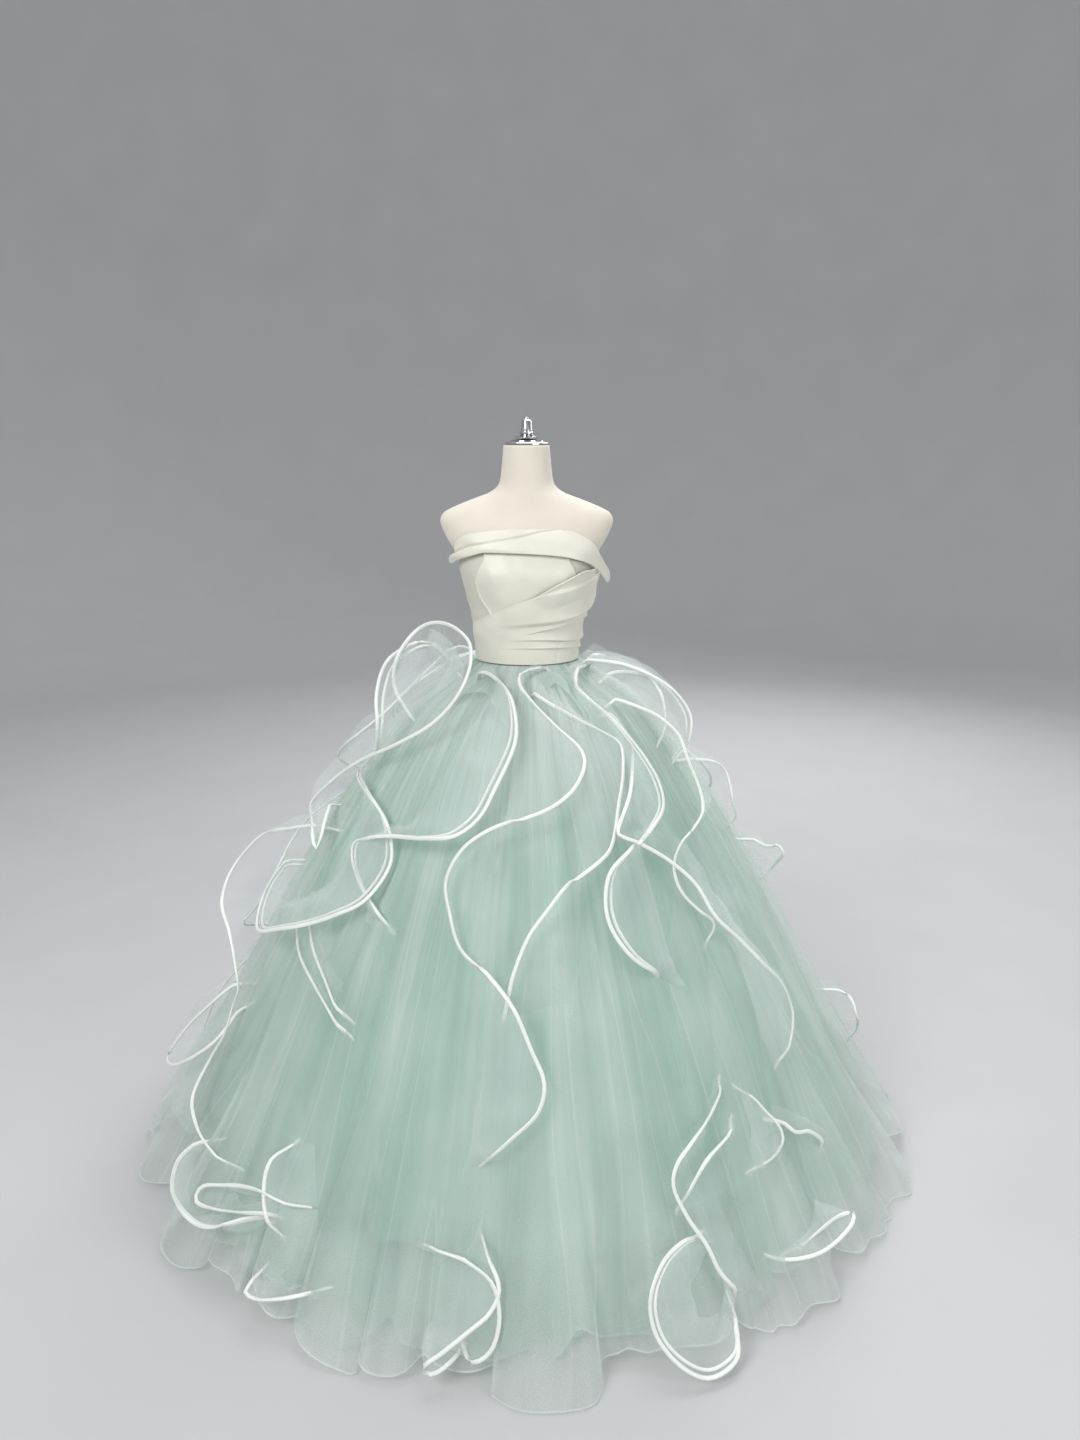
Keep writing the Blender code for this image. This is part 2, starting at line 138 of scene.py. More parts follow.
# height, radius of the lining, of the inner tulle and of the outer tulle
SKIRT_RADII = [
    (1.090, 0.1075, 0.1105, 0.1135),
    (1.050, 0.158, 0.166, 0.175),
    (1.016, 0.194, 0.212, 0.229),
    (0.950, 0.238, 0.264, 0.290),
    (0.854, 0.290, 0.330, 0.362),
    (0.780, 0.326, 0.376, 0.412),
    (0.636, 0.388, 0.452, 0.500),
    (0.460, 0.455, 0.540, 0.604),
    (0.225, 0.540, 0.655, 0.735),
    (0.000, 0.620, 0.765, 0.868),
]
LINING, INNER, OUTER = 1, 2, 3      # columns of SKIRT_RADII
# height, depth of the skirt from front to back as a share of its width
SKIRT_OVAL = [(0.93, 1.0), (1.02, 0.93), (1.09, 0.84)]
FIRST_SEAM_AZIMUTH = 15
# each kind of wave round the skirt: its number of cycles, its own part of the seed, its slant
SKIRT_WAVES = {
    "wander": (7, 11, 5.0),     # moves the folds sideways as they fall
    "depth": (6, 12, 3.0),      # makes them deeper here and shallower there
    "pleats": (96, 0, 2.0),
    "tucks": (22, 7, 3.0),
    "creases": (20, 1, 6.0),
    "folds": (17, 2, 3.0),
    "lobes": (28, 3, 1.5),
    "scallops": (70, 4, 0.0),
    "hem_swell": (9, 5, 0.0),
    "hem_ripple": (38, 6, 0.0),
}
WANDER = 2.4            # degrees
LOBES_FROM = 0.66       # share of the way down where the hem's lobes begin
SCALLOPS_FROM = 0.86
TUCK_DEPTH = 0.0068     # of the pinched creases below the waist
FOLD_LIMIT = 0.046      # no fold stands further out than this
SKIRT_SWEEP = 5.4       # length of the hem, which the tulle's streaks are measured along
CLOTH_FLOOR = 0.004     # no tulle hangs lower than this


def read(table, column, x):
    """One column of a table at x, a number or an array, on a smooth curve that never overshoots the rows."""
    rows = sorted(table)
    xs = np.array([row[0] for row in rows], float)
    ys = np.array([row[column] for row in rows], float)
    steps = np.diff(xs)
    rises = np.diff(ys) / steps
    slopes = np.concatenate([rises[:1], np.zeros(len(xs) - 2), rises[-1:]])
    for i in range(1, len(xs) - 1):
        if rises[i - 1] * rises[i] > 0:
            slopes[i] = 2 * rises[i - 1] * rises[i] / (rises[i - 1] + rises[i])
    x = np.asarray(x, float)
    place = np.clip(np.searchsorted(xs, x) - 1, 0, len(xs) - 2)
    t = np.clip((x - xs[place]) / steps[place], 0, 1)
    leaving = (1 + 2 * t) * (1 - t) ** 2 * ys[place] + t * (1 - t) ** 2 * steps[place] * slopes[place]
    arriving = t * t * (3 - 2 * t) * ys[place + 1] + t * t * (t - 1) * steps[place] * slopes[place + 1]
    return leaving + arriving


def wrap(azimuth):
    """The same azimuth, between -180 and 180 degrees."""
    return (np.asarray(azimuth) + 180) % 360 - 180


def ramp(x, start, end):
    """0 before start and 1 after end, with a smooth rise between them."""
    t = np.clip((np.asarray(x, float) - start) / (end - start), 0, 1)
    return t * t * (3 - 2 * t)


def bell(x, middle, width):
    """1 at the middle, falling smoothly to nothing a few widths away."""
    return np.exp(-(((np.asarray(x, float) - middle) / width) ** 2))


def unit(vectors):
    """Vectors of length 1."""
    return vectors / np.maximum(np.linalg.norm(vectors, axis=-1, keepdims=True), 1e-9)


def azimuth_of(points):
    """The azimuth of points, in degrees."""
    return np.degrees(np.arctan2(points[..., 0], -points[..., 1]))


def length_along(points):
    """The distance along a line of points, from its first point to each of them."""
    return np.concatenate([[0], np.cumsum(np.linalg.norm(np.diff(points, axis=0), axis=1))])


def round_point(angle, half_width, depth, height):
    """A point on an oval ring round the upright axis."""
    return np.stack([half_width * np.sin(angle), -depth * np.cos(angle), height], -1)


def turned(outline, sides):
    """The rings of a shape turned round the upright axis, from an outline of radius and height."""
    turns = np.radians(np.arange(0, 360, 360 / sides))
    return np.array([
        round_point(turns, radius, radius, np.full_like(turns, height)) for radius, height in outline
    ])


def declare(piece, node):
    """Attaches a piece to the root body and hides the CAD node that it stands for."""
    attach(piece, "root")
    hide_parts(node)


def round_wave(azimuth, cycles, seed, slant, height, later):
    """An uneven wave round the whole skirt, between about -1 and 1, with about this many cycles.
    Slant turns each of its parts by its own amount for each metre of height, and later turns them all."""
    source = np.random.default_rng(seed)
    turn = np.radians(azimuth)
    total = 0.0
    for part in range(6):
        number = max(1, round(cycles * source.uniform(0.55, 1.5)))
        phase = source.uniform(0, 2 * math.pi)
        lean = source.normal(0, slant)
        total = total + np.cos(number * turn + phase + lean * height - later)
    return total / 2.45     # the square root of the number of its parts


def skirt_wave(kind, seed, azimuth, height=0.0, later=0.0):
    """One kind of wave round one layer of the skirt."""
    cycles, own_seed, slant = SKIRT_WAVES[kind]
    return round_wave(azimuth, cycles, seed + own_seed, slant, height, later)


def creased(wave):
    """A wave turned into round crests with pinched valleys between, at twice its number of cycles."""
    return 2.0 * np.abs(wave) ** 0.6 - 1.4


def long_wave(length, pitch, seed):
    """An uneven wave along a length of cloth, between about -1 and 1."""
    source = np.random.default_rng(seed)
    total = 0.0
    for part in range(5):
        size = pitch * source.uniform(0.65, 1.7)
        total = total + np.cos(2 * math.pi * length / size + source.uniform(0, 2 * math.pi))
    return total / 2.24     # the square root of the number of its parts


# ---------------------------------------------------------------- meshes

def add_mesh(name, points, faces, material, uv=None):
    """Adds a smooth mesh object. uv holds one (u, v) pair for each point."""
    mesh = bpy.data.meshes.new(name)
    mesh.from_pydata(np.asarray(points, float).tolist(), [], faces)
    if uv is not None:
        layer = mesh.uv_layers.new(name="cloth")
        corners = np.zeros(len(mesh.loops), int)
        mesh.loops.foreach_get("vertex_index", corners)
        layer.data.foreach_set("uv", np.asarray(uv, float)[corners].ravel())
    mesh.materials.append(material)
    mesh.shade_smooth()
    piece = bpy.data.objects.new(name, mesh)
    bpy.context.scene.collection.objects.link(piece)
    return piece


def grid_faces(rows, columns, close_columns=False):
    """The quads of a grid of points, counted row by row."""
    row = np.arange(rows - 1)
    column = np.arange(columns if close_columns else columns - 1)
    low, left = np.meshgrid(row * columns, column, indexing="ij")
    high = low + columns
    right = (left + 1) % columns
    return np.stack([low + left, low + right, high + right, high + left], -1).reshape(-1, 4).tolist()


def add_surface(name, points, material, uv):
    """Adds an open cloth surface from a grid of points and a grid of (u, v) pairs."""
    rows, columns = points.shape[:2]
    return add_mesh(name, points.reshape(-1, 3), grid_faces(rows, columns), material, uv.reshape(-1, 2))


def add_band(name, sections, material, uv):
    """Adds a closed band swept through sections, each a closed loop of points, with an end on each side."""
    count, around = sections.shape[:2]
    faces = grid_faces(count, around, close_columns=True)
    faces.append(list(range(around))[::-1])
    faces.append([(count - 1) * around + i for i in range(around)])
    return add_mesh(name, sections.reshape(-1, 3), faces, material, uv.reshape(-1, 2))


def add_wall(name, outside, inside, material, uv):
    """Adds a thin closed wall between two grids of points."""
    rows, columns = outside.shape[:2]
    points = np.concatenate([outside.reshape(-1, 3), inside.reshape(-1, 3)])
    faces = grid_faces(rows, columns)
    faces += [[corner + rows * columns for corner in face[::-1]] for face in grid_faces(rows, columns)]
    border = [(0, c) for c in range(columns)]
    border += [(r, columns - 1) for r in range(1, rows)]
    border += [(rows - 1, c) for c in range(columns - 2, -1, -1)]
    border += [(r, 0) for r in range(rows - 2, 0, -1)]
    for (row, column), (next_row, next_column) in zip(border, border[1:] + border[:1]):
        here = row * columns + column
        there = next_row * columns + next_column
        faces.append([there, here, here + rows * columns, there + rows * columns])
    return add_mesh(name, points, faces, material, np.concatenate([uv.reshape(-1, 2)] * 2))


# ---------------------------------------------------------------- materials

class Finish:
    """A material and short ways to add its nodes. A value is a number, or a node with its output's name."""

    def __init__(self, name, colour, settings):
        self.material = bpy.data.materials.new(name)
        self.material.use_nodes = True
        self.tree = self.material.node_tree
        self.shader = self.tree.nodes["Principled BSDF"]
        self.colour = colour
        self.shader.inputs["Base Color"].default_value = (*colour, 1)
        for key, setting in settings.items():
            self.shader.inputs[key].default_value = setting

    def add(self, kind, **settings):
        """A node, with settings for its sockets and properties by name."""
        node = self.tree.nodes.new(kind)
        for key, setting in settings.items():
            if key in node.inputs:
                node.inputs[key].default_value = setting
            else:
                setattr(node, key, setting)
        return node

    def feed(self, value, node, entry):
        """Gives a value to a node's input."""
        if isinstance(value, tuple):
            source, output = value
            self.tree.links.new(source.outputs[output], node.inputs[entry])
        else:
            node.inputs[entry].default_value = value

    def place(self, kind):
        """Coordinates in metres: "Object" is the object's own and "UV" is the cloth's."""
        return self.add("ShaderNodeTexCoord"), kind

    def clouds(self, scale, detail):
        """A noise through the object."""
        texture = self.add("ShaderNodeTexNoise", Scale=scale, Detail=detail)
        self.feed(self.place("Object"), texture, "Vector")
        return texture, "Fac"

    def streaks(self, along_u, along_v, detail):
        """A noise on the cloth, with its own scale along each of the cloth's two directions."""
        scaling = self.add("ShaderNodeMapping", Scale=(along_u, along_v, 1))
        texture = self.add("ShaderNodeTexNoise", Scale=1.0, Detail=detail, noise_dimensions="2D")
        self.feed(self.place("UV"), scaling, "Vector")
        self.feed((scaling, "Vector"), texture, "Vector")
        return texture, "Fac"

    def between(self, value, low, high, to_low, to_high):
        """A value carried from one range to another."""
        change = self.add(
            "ShaderNodeMapRange", **{"From Min": low, "From Max": high, "To Min": to_low, "To Max": to_high},
        )
        self.feed(value, change, "Value")
        return change, "Result"

    def work_out(self, operation, *values):
        """The result of arithmetic on values."""
        node = self.add("ShaderNodeMath", operation=operation)
        for number, value in enumerate(values):
            self.feed(value, node, number)
        return node, "Value"

    def mix(self, share, first, second):
        """Two shaders mixed, with the share that is the second's."""
        node = self.add("ShaderNodeMixShader")
        for number, value in enumerate((share, first, second)):
            self.feed(value, node, number)
        return node, "Shader"

    def vary_colour(self, value, low, high, darker, lighter):
        """Multiplies the main colour by darker where the value is low and by lighter where it is high."""
        colours = self.add("ShaderNodeValToRGB")
        for stop, position, factor in zip(colours.color_ramp.elements, (low, high), (darker, lighter)):
            stop.position = position
            stop.color = (*(min(1.0, channel * factor) for channel in self.colour), 1)
        self.feed(value, colours, "Fac")
        self.feed((colours, "Color"), self.shader, "Base Color")

    def bump(self, value, strength, distance):
        """A bump on the main shader."""
        node = self.add("ShaderNodeBump", Strength=strength, Distance=distance)
        self.feed(value, node, "Height")
        self.feed((node, "Normal"), self.shader, "Normal")


def satin(name, colour, roughness):
    """Heavy satin: a soft sheen and faint slubs along the cloth."""
    finish = Finish(name, colour, {
        "Roughness": roughness, "Specular IOR Level": 0.45, "Sheen Weight": 0.25, "Sheen Roughness": 0.4,
    })
    finish.vary_colour(finish.clouds(22, 3), 0.3, 0.72, 0.95, 1.03)
    slubs = finish.streaks(40, 900, 3)
    rough = finish.between(slubs, 0.3, 0.7, roughness - 0.06, roughness + 0.08)
    finish.feed(rough, finish.shader, "Roughness")
    finish.bump(slubs, 0.12, 0.0006)
    return finish.material


def tulle(name, colour, cover, streak_pitch, skirt_ply):
    """Sheer net: clouds and streaks where its plies gather, thin lines where it is folded over itself,
    a fine mesh of holes and light that passes through. Cover is how much of what is behind it is hidden.
    A ply of the skirt is denser where it is gathered into the waist and along its raw hem."""
    finish = Finish(name, colour, {
        "Roughness": 0.85, "Specular IOR Level": 0.2, "Sheen Weight": 0.35, "Sheen Roughness": 0.6,
    })
    streaks = finish.streaks(1 / streak_pitch, 1.1, 2)
    finish.vary_colour(streaks, 0.3, 0.7, 0.97, 1.03)
    fine = finish.between(streaks, 0.3, 0.7, cover * 0.92, cover * 1.08)
    broad = finish.between(finish.streaks(9, 1.6, 1), 0.32, 0.68, 0.82, 1.18)
    drift = finish.between(finish.clouds(5, 1), 0.3, 0.7, 0.82, 1.18)
    cloudy = finish.work_out("MULTIPLY", finish.work_out("MULTIPLY", fine, broad), drift)
    folded = finish.streaks(0.35 / streak_pitch, 0.9, 1)
    from_fold = finish.work_out("ABSOLUTE", finish.work_out("SUBTRACT", folded, 0.5))
    lines = finish.between(from_fold, 0.0, 0.020, 0.24 * cover, 0.0)
    total = finish.work_out("ADD", cloudy, lines)
    if skirt_ply:
        split = finish.add("ShaderNodeSeparateXYZ")
        finish.feed(finish.place("UV"), split, "Vector")
        above_hem = (split, "Y")
        gathered = finish.between(above_hem, 0.78, 1.07, 1.0, 1.6)
        hem = finish.between(above_hem, 0.0015, 0.0040, 0.40, 0.0)
        total = finish.work_out("ADD", finish.work_out("MULTIPLY", total, gathered), hem)
    net = finish.add("ShaderNodeTexVoronoi", Scale=620.0, voronoi_dimensions="2D")
    finish.feed(finish.place("UV"), net, "Vector")
    holes = finish.between((net, "Distance"), 0.0, 0.75, 0.86, 1.14)
    alpha = finish.work_out("MULTIPLY", total, holes)
    alpha[0].use_clamp = True
    through = finish.add("ShaderNodeBsdfTranslucent", Color=(*colour, 1))
    clear = finish.add("ShaderNodeBsdfTransparent")
    body = finish.mix(0.38, (finish.shader, "BSDF"), (through, "BSDF"))
    whole = finish.mix(alpha, (clear, "BSDF"), body)
    finish.feed(whole, finish.tree.nodes["Material Output"], "Surface")
    return finish.material


def lining_cloth(name, colour):
    """Matt lining: soft streaks down its folds and a fine plain weave."""
    finish = Finish(name, colour, {"Roughness": 0.7, "Sheen Weight": 0.2})
    finish.vary_colour(finish.streaks(60, 2, 4), 0.3, 0.7, 0.88, 1.06)
    finish.bump(finish.clouds(900, 1), 0.2, 0.0006)
    return finish.material


def jersey(name, colour):
    """Matt knitted cover of the form: fine wales and a faint unevenness."""
    finish = Finish(name, colour, {"Roughness": 0.85, "Sheen Weight": 0.3})
    finish.vary_colour(finish.clouds(14, 3), 0.3, 0.7, 0.96, 1.03)
    finish.bump(finish.streaks(700, 260, 1), 0.25, 0.0007)
    return finish.material


def chrome(name, colour):
    """Polished metal with faint wipe marks."""
    finish = Finish(name, colour, {"Roughness": 0.1, "Metallic": 1.0})
    rough = finish.between(finish.clouds(90, 3), 0.3, 0.7, 0.10, 0.20)
    finish.feed(rough, finish.shader, "Roughness")
    return finish.material


def paint(name, colour):
    """Satin black paint on metal, with a little orange peel."""
    finish = Finish(name, colour, {"Roughness": 0.45})
    peel = finish.clouds(420, 2)
    finish.vary_colour(peel, 0.3, 0.7, 0.8, 1.2)
    finish.bump(peel, 0.15, 0.0004)
    return finish.material


def plaster(name, colour):
    """The studio's plain pale floor and backdrop."""
    finish = Finish(name, colour, {"Roughness": 0.8})
    finish.vary_colour(finish.clouds(3, 2), 0.3, 0.7, 0.985, 1.015)
    return finish.material


FINISHES = {
    "jersey": jersey("form_jersey_fine", (0.78, 0.72, 0.62)),
    "chrome": chrome("chrome_fine", (0.64, 0.64, 0.66)),
    "paint": paint("stand_paint_fine", (0.05, 0.05, 0.05)),
    "satin": satin("bodice_satin_fine", (0.79, 0.775, 0.67), 0.40),
    # The side fronts' satin: its darker colour is painted shade on the sides of the bodice, and its rougher
    # sheen is that of satin cut across the grain.
    "cross_satin_painted_shade": satin("bodice_satin_cross_painted_shade_fine", (0.70, 0.69, 0.59), 0.46),
    "binding": satin("binding_satin_fine", (0.84, 0.87, 0.83), 0.34),
    "lining": lining_cloth("lining_mint_fine", (0.26, 0.57, 0.46)),
    "inner": tulle("tulle_inner_fine", (0.54, 0.82, 0.72), 0.50, 0.018, True),
    "middle": tulle("tulle_middle_fine", (0.74, 0.88, 0.81), 0.42, 0.026, True),
    "outer": tulle("tulle_outer_fine", (0.83, 0.89, 0.855), 0.40, 0.034, True),
    "ruffle": tulle("tulle_ruffle_fine", (0.84, 0.90, 0.88), 0.20, 0.040, False),
    "flap": tulle("tulle_flap_fine", (0.70, 0.84, 0.78), 0.42, 0.020, False),
    "plaster": plaster("studio_plaster", (0.55, 0.55, 0.55)),
}


# ---------------------------------------------------------------- form

def form_point(azimuth, height, offset=0.0):
    """Points on the dress form, moved outwards by offset in their own level."""
    azimuth, height, offset = np.broadcast_arrays(azimuth, height, offset)
    angle = np.radians(azimuth)
    half_width = read(FORM_RINGS, HALF_WIDTH, height)
    front = read(FORM_RINGS, FRONT_DEPTH, height)
    depth = np.where(np.cos(angle) > 0, front, read(FORM_RINGS, BACK_DEPTH, height))
    outward = unit(np.stack([np.sin(angle) / half_width, -np.cos(angle) / depth, np.zeros_like(angle)], -1))
    beside = bell(np.abs(wrap(azimuth)), BUST_AZIMUTH, BUST_WIDE)
    bust = BUST_RISE * bell(height, BUST_HEIGHT, BUST_TALL) * beside
    return round_point(angle, half_width, depth, height) + outward * (offset + bust)[..., None]


def build_form():
    """The padded torso, its chrome top, and the stand's CAD nodes with a finer paint."""
    levels = np.linspace(FORM_RINGS[0][0], FORM_RINGS[-1][0], TORSO_RINGS)[:, None]
    azimuths = np.arange(0, 360, TORSO_STEP)[None, :]
    uv = np.stack(np.broadcast_arrays(azimuths / 360, levels), -1)
    torso = add_band("torso", form_point(azimuths, levels), FINISHES["jersey"], uv)
    declare(torso, "form_torso")
    for name, outline in (("neck_cap", NECK_CAP_OUTLINE), ("finial", FINIAL_OUTLINE)):
        sections = turned(outline, TURNED_SIDES)
        piece = add_band(name, sections, FINISHES["chrome"], sections[..., :2])
        piece.data.set_sharp_from_angle(angle=math.radians(50))
        declare(piece, f"form_{name}")
    for node in ("form_socket", "form_pole", "form_base"):
        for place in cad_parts[node].material_slots:
            place.material = FINISHES["paint"]


# ---------------------------------------------------------------- bodice

SATIN_WALL = 0.0016
FRONT_CLEARANCE = 0.0034    # between each panel and the form
SIDE_CLEARANCE = 0.0024
BACK_CLEARANCE = 0.0032
PANEL_SWEEP = 0.828     # length round the bust, which the satin's slubs are measured along
CUFF_SWEEP = 0.936      # the same round the cuff
SEAM_GAP = 0.05         # degrees left at each side of an upright seam
FIRST_GUESS = 1.2       # height that a panel's points start from before they settle


def declare_satin(piece, node):
    """Attaches a satin piece and hides its CAD node, as for every other piece."""
    declare(piece, node)


def satin_panel(name, node, edges, top, clearance, relief,
                columns=50, rows=70, wall=None, finish="satin"):
    """Adds one satin panel. edges and top are functions, relief lifts its face by azimuth and height,
    and wall gives its thickness where it isn't even."""
    start, end = edges
    share = np.linspace(0, 1, rows)[:, None]
    across = np.linspace(0, 1, columns)[None, :]
    height = np.full((rows, columns), FIRST_GUESS)
    for attempt in range(3):    # the sides depend on the height and the top on the azimuth, so they settle
        left = start(height)
        azimuth = left + (end(height) - left) * across
        height = BODICE_FOOT + (top(azimuth) - BODICE_FOOT) * share
    lift = clearance + relief(azimuth, height)
    outside = form_point(azimuth, height, lift + (wall(azimuth, height) if wall else SATIN_WALL))
    inside = form_point(azimuth, height, lift)
    uv = np.stack([azimuth * PANEL_SWEEP / 360, height], -1)
    piece = add_wall(name, outside, inside, FINISHES[finish], uv)
    declare_satin(piece, node)


# azimuth, width in degrees and rise of each soft fold over the bust
BUST_FOLDS = [(-20, 6.5, 0.0016), (-5, 5.5, 0.0013), (10, 6.5, 0.0010), (-33, 5.0, 0.0010)]
FAN_HEIGHT = 1.33       # where they stand at these azimuths
FAN_TURN = 120          # degrees that they lean for each metre above it


def bust_gathers(azimuth, height):
    """Soft folds that fan over the bust and fade below it."""
    fan = wrap(azimuth + (height - FAN_HEIGHT) * FAN_TURN)
    folds = sum(rise * bell(fan, middle, width) for middle, width, rise in BUST_FOLDS)
    return folds * ramp(height, 1.16, 1.28) * (1 - 0.5 * ramp(height, 1.31, 1.36))


def seam_roll(azimuth, height, rise, width):
    """The turned edge that stands along a princess seam."""
    seam = read(PRINCESS_SEAM, 1, height)
    return rise * bell(np.abs(azimuth), seam, width)


STRAIN_DEPTH = 0.0007
STRAIN_PITCH = 0.045


def tension(azimuth, height, phase):
    """Faint level strain creases of a close-fitting satin, which fade over the bust."""
    wobble = 0.012 * np.sin(np.radians(azimuth * 2.3 + 40 * phase))
    waves = np.sin((height + wobble) * 2 * math.pi / STRAIN_PITCH + phase)
    return STRAIN_DEPTH * waves * (1 - ramp(height, 1.20, 1.28))


def front_relief(azimuth, height):
    """The face of the centre front: folds over the bust and a roll along each princess seam."""
    return bust_gathers(azimuth, height) + seam_roll(azimuth, height, 0.0030, 1.0)


def side_relief(azimuth, height):
    """The face of a side front, which sinks beside the seam's roll."""
    return tension(azimuth, height, 1.0) - seam_roll(azimuth, height, 0.0010, 1.2)


def back_relief(azimuth, height):
    """The face of a back, with a low ridge at the closed centre back."""
    return tension(azimuth, height, 2.0) + 0.0008 * bell(np.abs(wrap(azimuth)), 180, 1.5)


def fold_relief(azimuth, height):
    """How far the drape's folds stand proud: each hangs over its line and fades above it."""
    relief = np.zeros(np.broadcast(azimuth, height).shape)
    for line, start, full, rise, width in DRAPE_FOLDS:
        above = (height - read(FOLD_LINES[line], 1, azimuth)) / width
        lip = np.where(above > 0, np.exp(-np.abs(above) * FOLD_FADE), np.exp(-((above / FOLD_LIP) ** 2)))
        relief = np.maximum(relief, rise * ramp(azimuth, start, full) * lip)
    above = height - read(DRAPE_RIDGE, 1, azimuth)
    shape = np.where(above > 0, bell(above, 0, RIDGE_ABOVE), bell(above, 0, RIDGE_BELOW))
    relief = np.maximum(relief, RIDGE_RISE * ramp(azimuth, -4, 30) * shape)
    edge = read(DRAPE_EDGE, 1, azimuth)
    relief = relief + EDGE_RISE * ramp(azimuth, 2, 26) * bell(height, edge - 0.002, 0.0050)
    flush = (1 - ramp(azimuth, CAUGHT_UNTIL, FREE_FROM)) * bell(height, edge, 0.02)
    seam = bell(azimuth, DRAPE_SEAM_AZIMUTH, 1.3) * ramp(height, 1.17, 1.155)
    drift = 0.0008 * np.sin(np.radians(azimuth) * 5 + height * 90) * ramp(height, 1.12, 1.16)
    return relief + (drift + 0.0004) * (1 - flush) - 0.0029 * flush - 0.0008 * seam


def drape_wall(azimuth, height):
    """The drape's thickness, which thins where its upper edge is caught down."""
    caught = 1 - ramp(azimuth, CAUGHT_UNTIL, FREE_FROM)
    caught = caught * bell(height, read(DRAPE_EDGE, 1, azimuth), 0.012)
    return SATIN_WALL * (1 - 0.8 * caught)


def drape_relief(azimuth, height):
    """The face of the drape, which sinks to the panels below it over the side seams."""
    reach = ramp(np.abs(azimuth), DRAPE_REACH, DRAPE_REACH - 8)
    return (fold_relief(azimuth, height) + DRAPE_SINK) * reach - DRAPE_SINK


# azimuth, lower edge, upper edge, distance off the form
CUFF_UNDER_EDGES = [
    (-84, 1.299, 1.303, 0.0105),
    (-72, 1.310, 1.320, 0.0088),
    (-60, 1.318, 1.345, 0.0075),
    (-50, 1.322, 1.359, 0.0070),
    (-38, 1.328, 1.368, 0.0066),
    (-7, 1.336, 1.376, 0.0066),
    (24, 1.344, 1.377, 0.0068),
]
CUFF_OVER_EDGES = [
    (-85, 1.300, 1.307, 0.0180),
    (-79, 1.300, 1.313, 0.0180),
    (-70, 1.305, 1.320, 0.0175),
    (-58, 1.313, 1.329, 0.0165),
    (-44, 1.322, 1.339, 0.0160),
    (-28, 1.331, 1.347, 0.0156),
    (-7, 1.330, 1.357, 0.0152),
    (12, 1.327, 1.370, 0.0148),
    (26, 1.323, 1.374, 0.0148),
    (40, 1.315, 1.361, 0.0155),
    (54, 1.304, 1.341, 0.0172),
    (64, 1.293, 1.321, 0.0210),
    (72, 1.281, 1.304, 0.0265),
    (79, 1.268, 1.290, 0.0335),
    (84, 1.259, 1.279, 0.0390),
    (86, 1.258, 1.272, 0.0405),
]
CUFF_STATIONS = 130
CUFF_AROUND = 60        # points round a cuff's folded section
CUFF_BELLY = 0.36       # how far its face swells between its edges, for its thickness
CUFF_THIN = 0.012       # where it is narrower than this it is thinner too


def add_cuff(name, node, edges, thickness, groove):
    """Adds a folded band: up its face, over a rolled edge and down behind. Groove is how far its face
    sinks beside the upper edge of the over-fold."""
    azimuth = np.linspace(edges[0][0], edges[-1][0], CUFF_STATIONS)[:, None]
    turn = np.linspace(0, 2 * math.pi, CUFF_AROUND, endpoint=False)[None, :]
    low = read(edges, 1, azimuth)
    high = read(edges, 2, azimuth)
    away = read(edges, 3, azimuth)
    share = 0.5 - 0.5 * np.cos(turn)
    height = low + (high - low) * share
    side = np.sign(np.sin(turn)) * np.abs(np.sin(turn)) ** 0.35
    crease = 0.0012 * np.sin(np.radians(azimuth) * 6 + height * 120) * np.sin(math.pi * share)
    roll = thickness / 2 * np.minimum(1, (high - low) / CUFF_THIN)
    belly = CUFF_BELLY * thickness * np.sin(math.pi * share)
    beside = bell(height, read(CUFF_OVER_EDGES, 2, azimuth) + 0.0015, 0.0024) * (side > 0) * groove
    offset = away + side * (roll + belly * (side > 0)) + crease * (side > 0) - beside
    sections = form_point(azimuth + 0 * turn, height, offset)
    uv = np.stack(np.broadcast_arrays(azimuth * CUFF_SWEEP / 360, height), -1)
    piece = add_band(name, sections, FINISHES["satin"], uv)
    declare_satin(piece, node)


def build_bodice():
    """Five fitted panels, the pleated drape and the two plies of the cuff."""
    def neck(azimuth):
        return read(NECKLINE, 1, np.abs(wrap(azimuth)))

    def drape_top(azimuth):
        return read(DRAPE_EDGE, 1, azimuth)

    def seam(sign):
        return lambda height: sign * read(PRINCESS_SEAM, 1, height)

    def at(azimuth):
        return lambda height: np.full(np.shape(height), float(azimuth))

    satin_panel(
        "bodice_front_panel", "bodice_front", (seam(-1), seam(1)), neck, FRONT_CLEARANCE, front_relief,
        columns=140, rows=80,
    )
    for side, front_edges, back_edges in (
        ("left", (at(-90 + SEAM_GAP), seam(-1)), (at(-180 + SEAM_GAP), at(-90 - SEAM_GAP))),
        ("right", (seam(1), at(90 - SEAM_GAP)), (at(90 + SEAM_GAP), at(180 - SEAM_GAP))),
    ):
        # The side fronts take the darker satin, whose colour is painted shade.
        satin_panel(
            f"bodice_side_front_{side}_panel", f"bodice_side_front_{side}", front_edges, neck,
            SIDE_CLEARANCE, side_relief, finish="cross_satin_painted_shade",
        )
        satin_panel(
            f"bodice_back_{side}_panel", f"bodice_back_{side}", back_edges, neck,
            BACK_CLEARANCE, back_relief,
        )
    satin_panel(
        "bodice_drape_panel", "bodice_drape", (at(-DRAPE_REACH), at(DRAPE_REACH)), drape_top, DRAPE_CLEARANCE,
        drape_relief, columns=150, rows=130, wall=drape_wall,
    )
    add_cuff(
        "cuff_under_fold", "cuff_under", CUFF_UNDER_EDGES, 0.0026, 0.0030,
    )
    add_cuff(
        "cuff_over_fold", "cuff_over", CUFF_OVER_EDGES, 0.0046, 0.0,
    )


# ---------------------------------------------------------------- skirt

def skirt_ring(column, azimuth, height):
    """Points on a skirt layer without its folds."""
    radius = read(SKIRT_RADII, column, height)
    return round_point(np.radians(azimuth), radius, radius * read(SKIRT_OVAL, 1, height), height + 0 * radius)


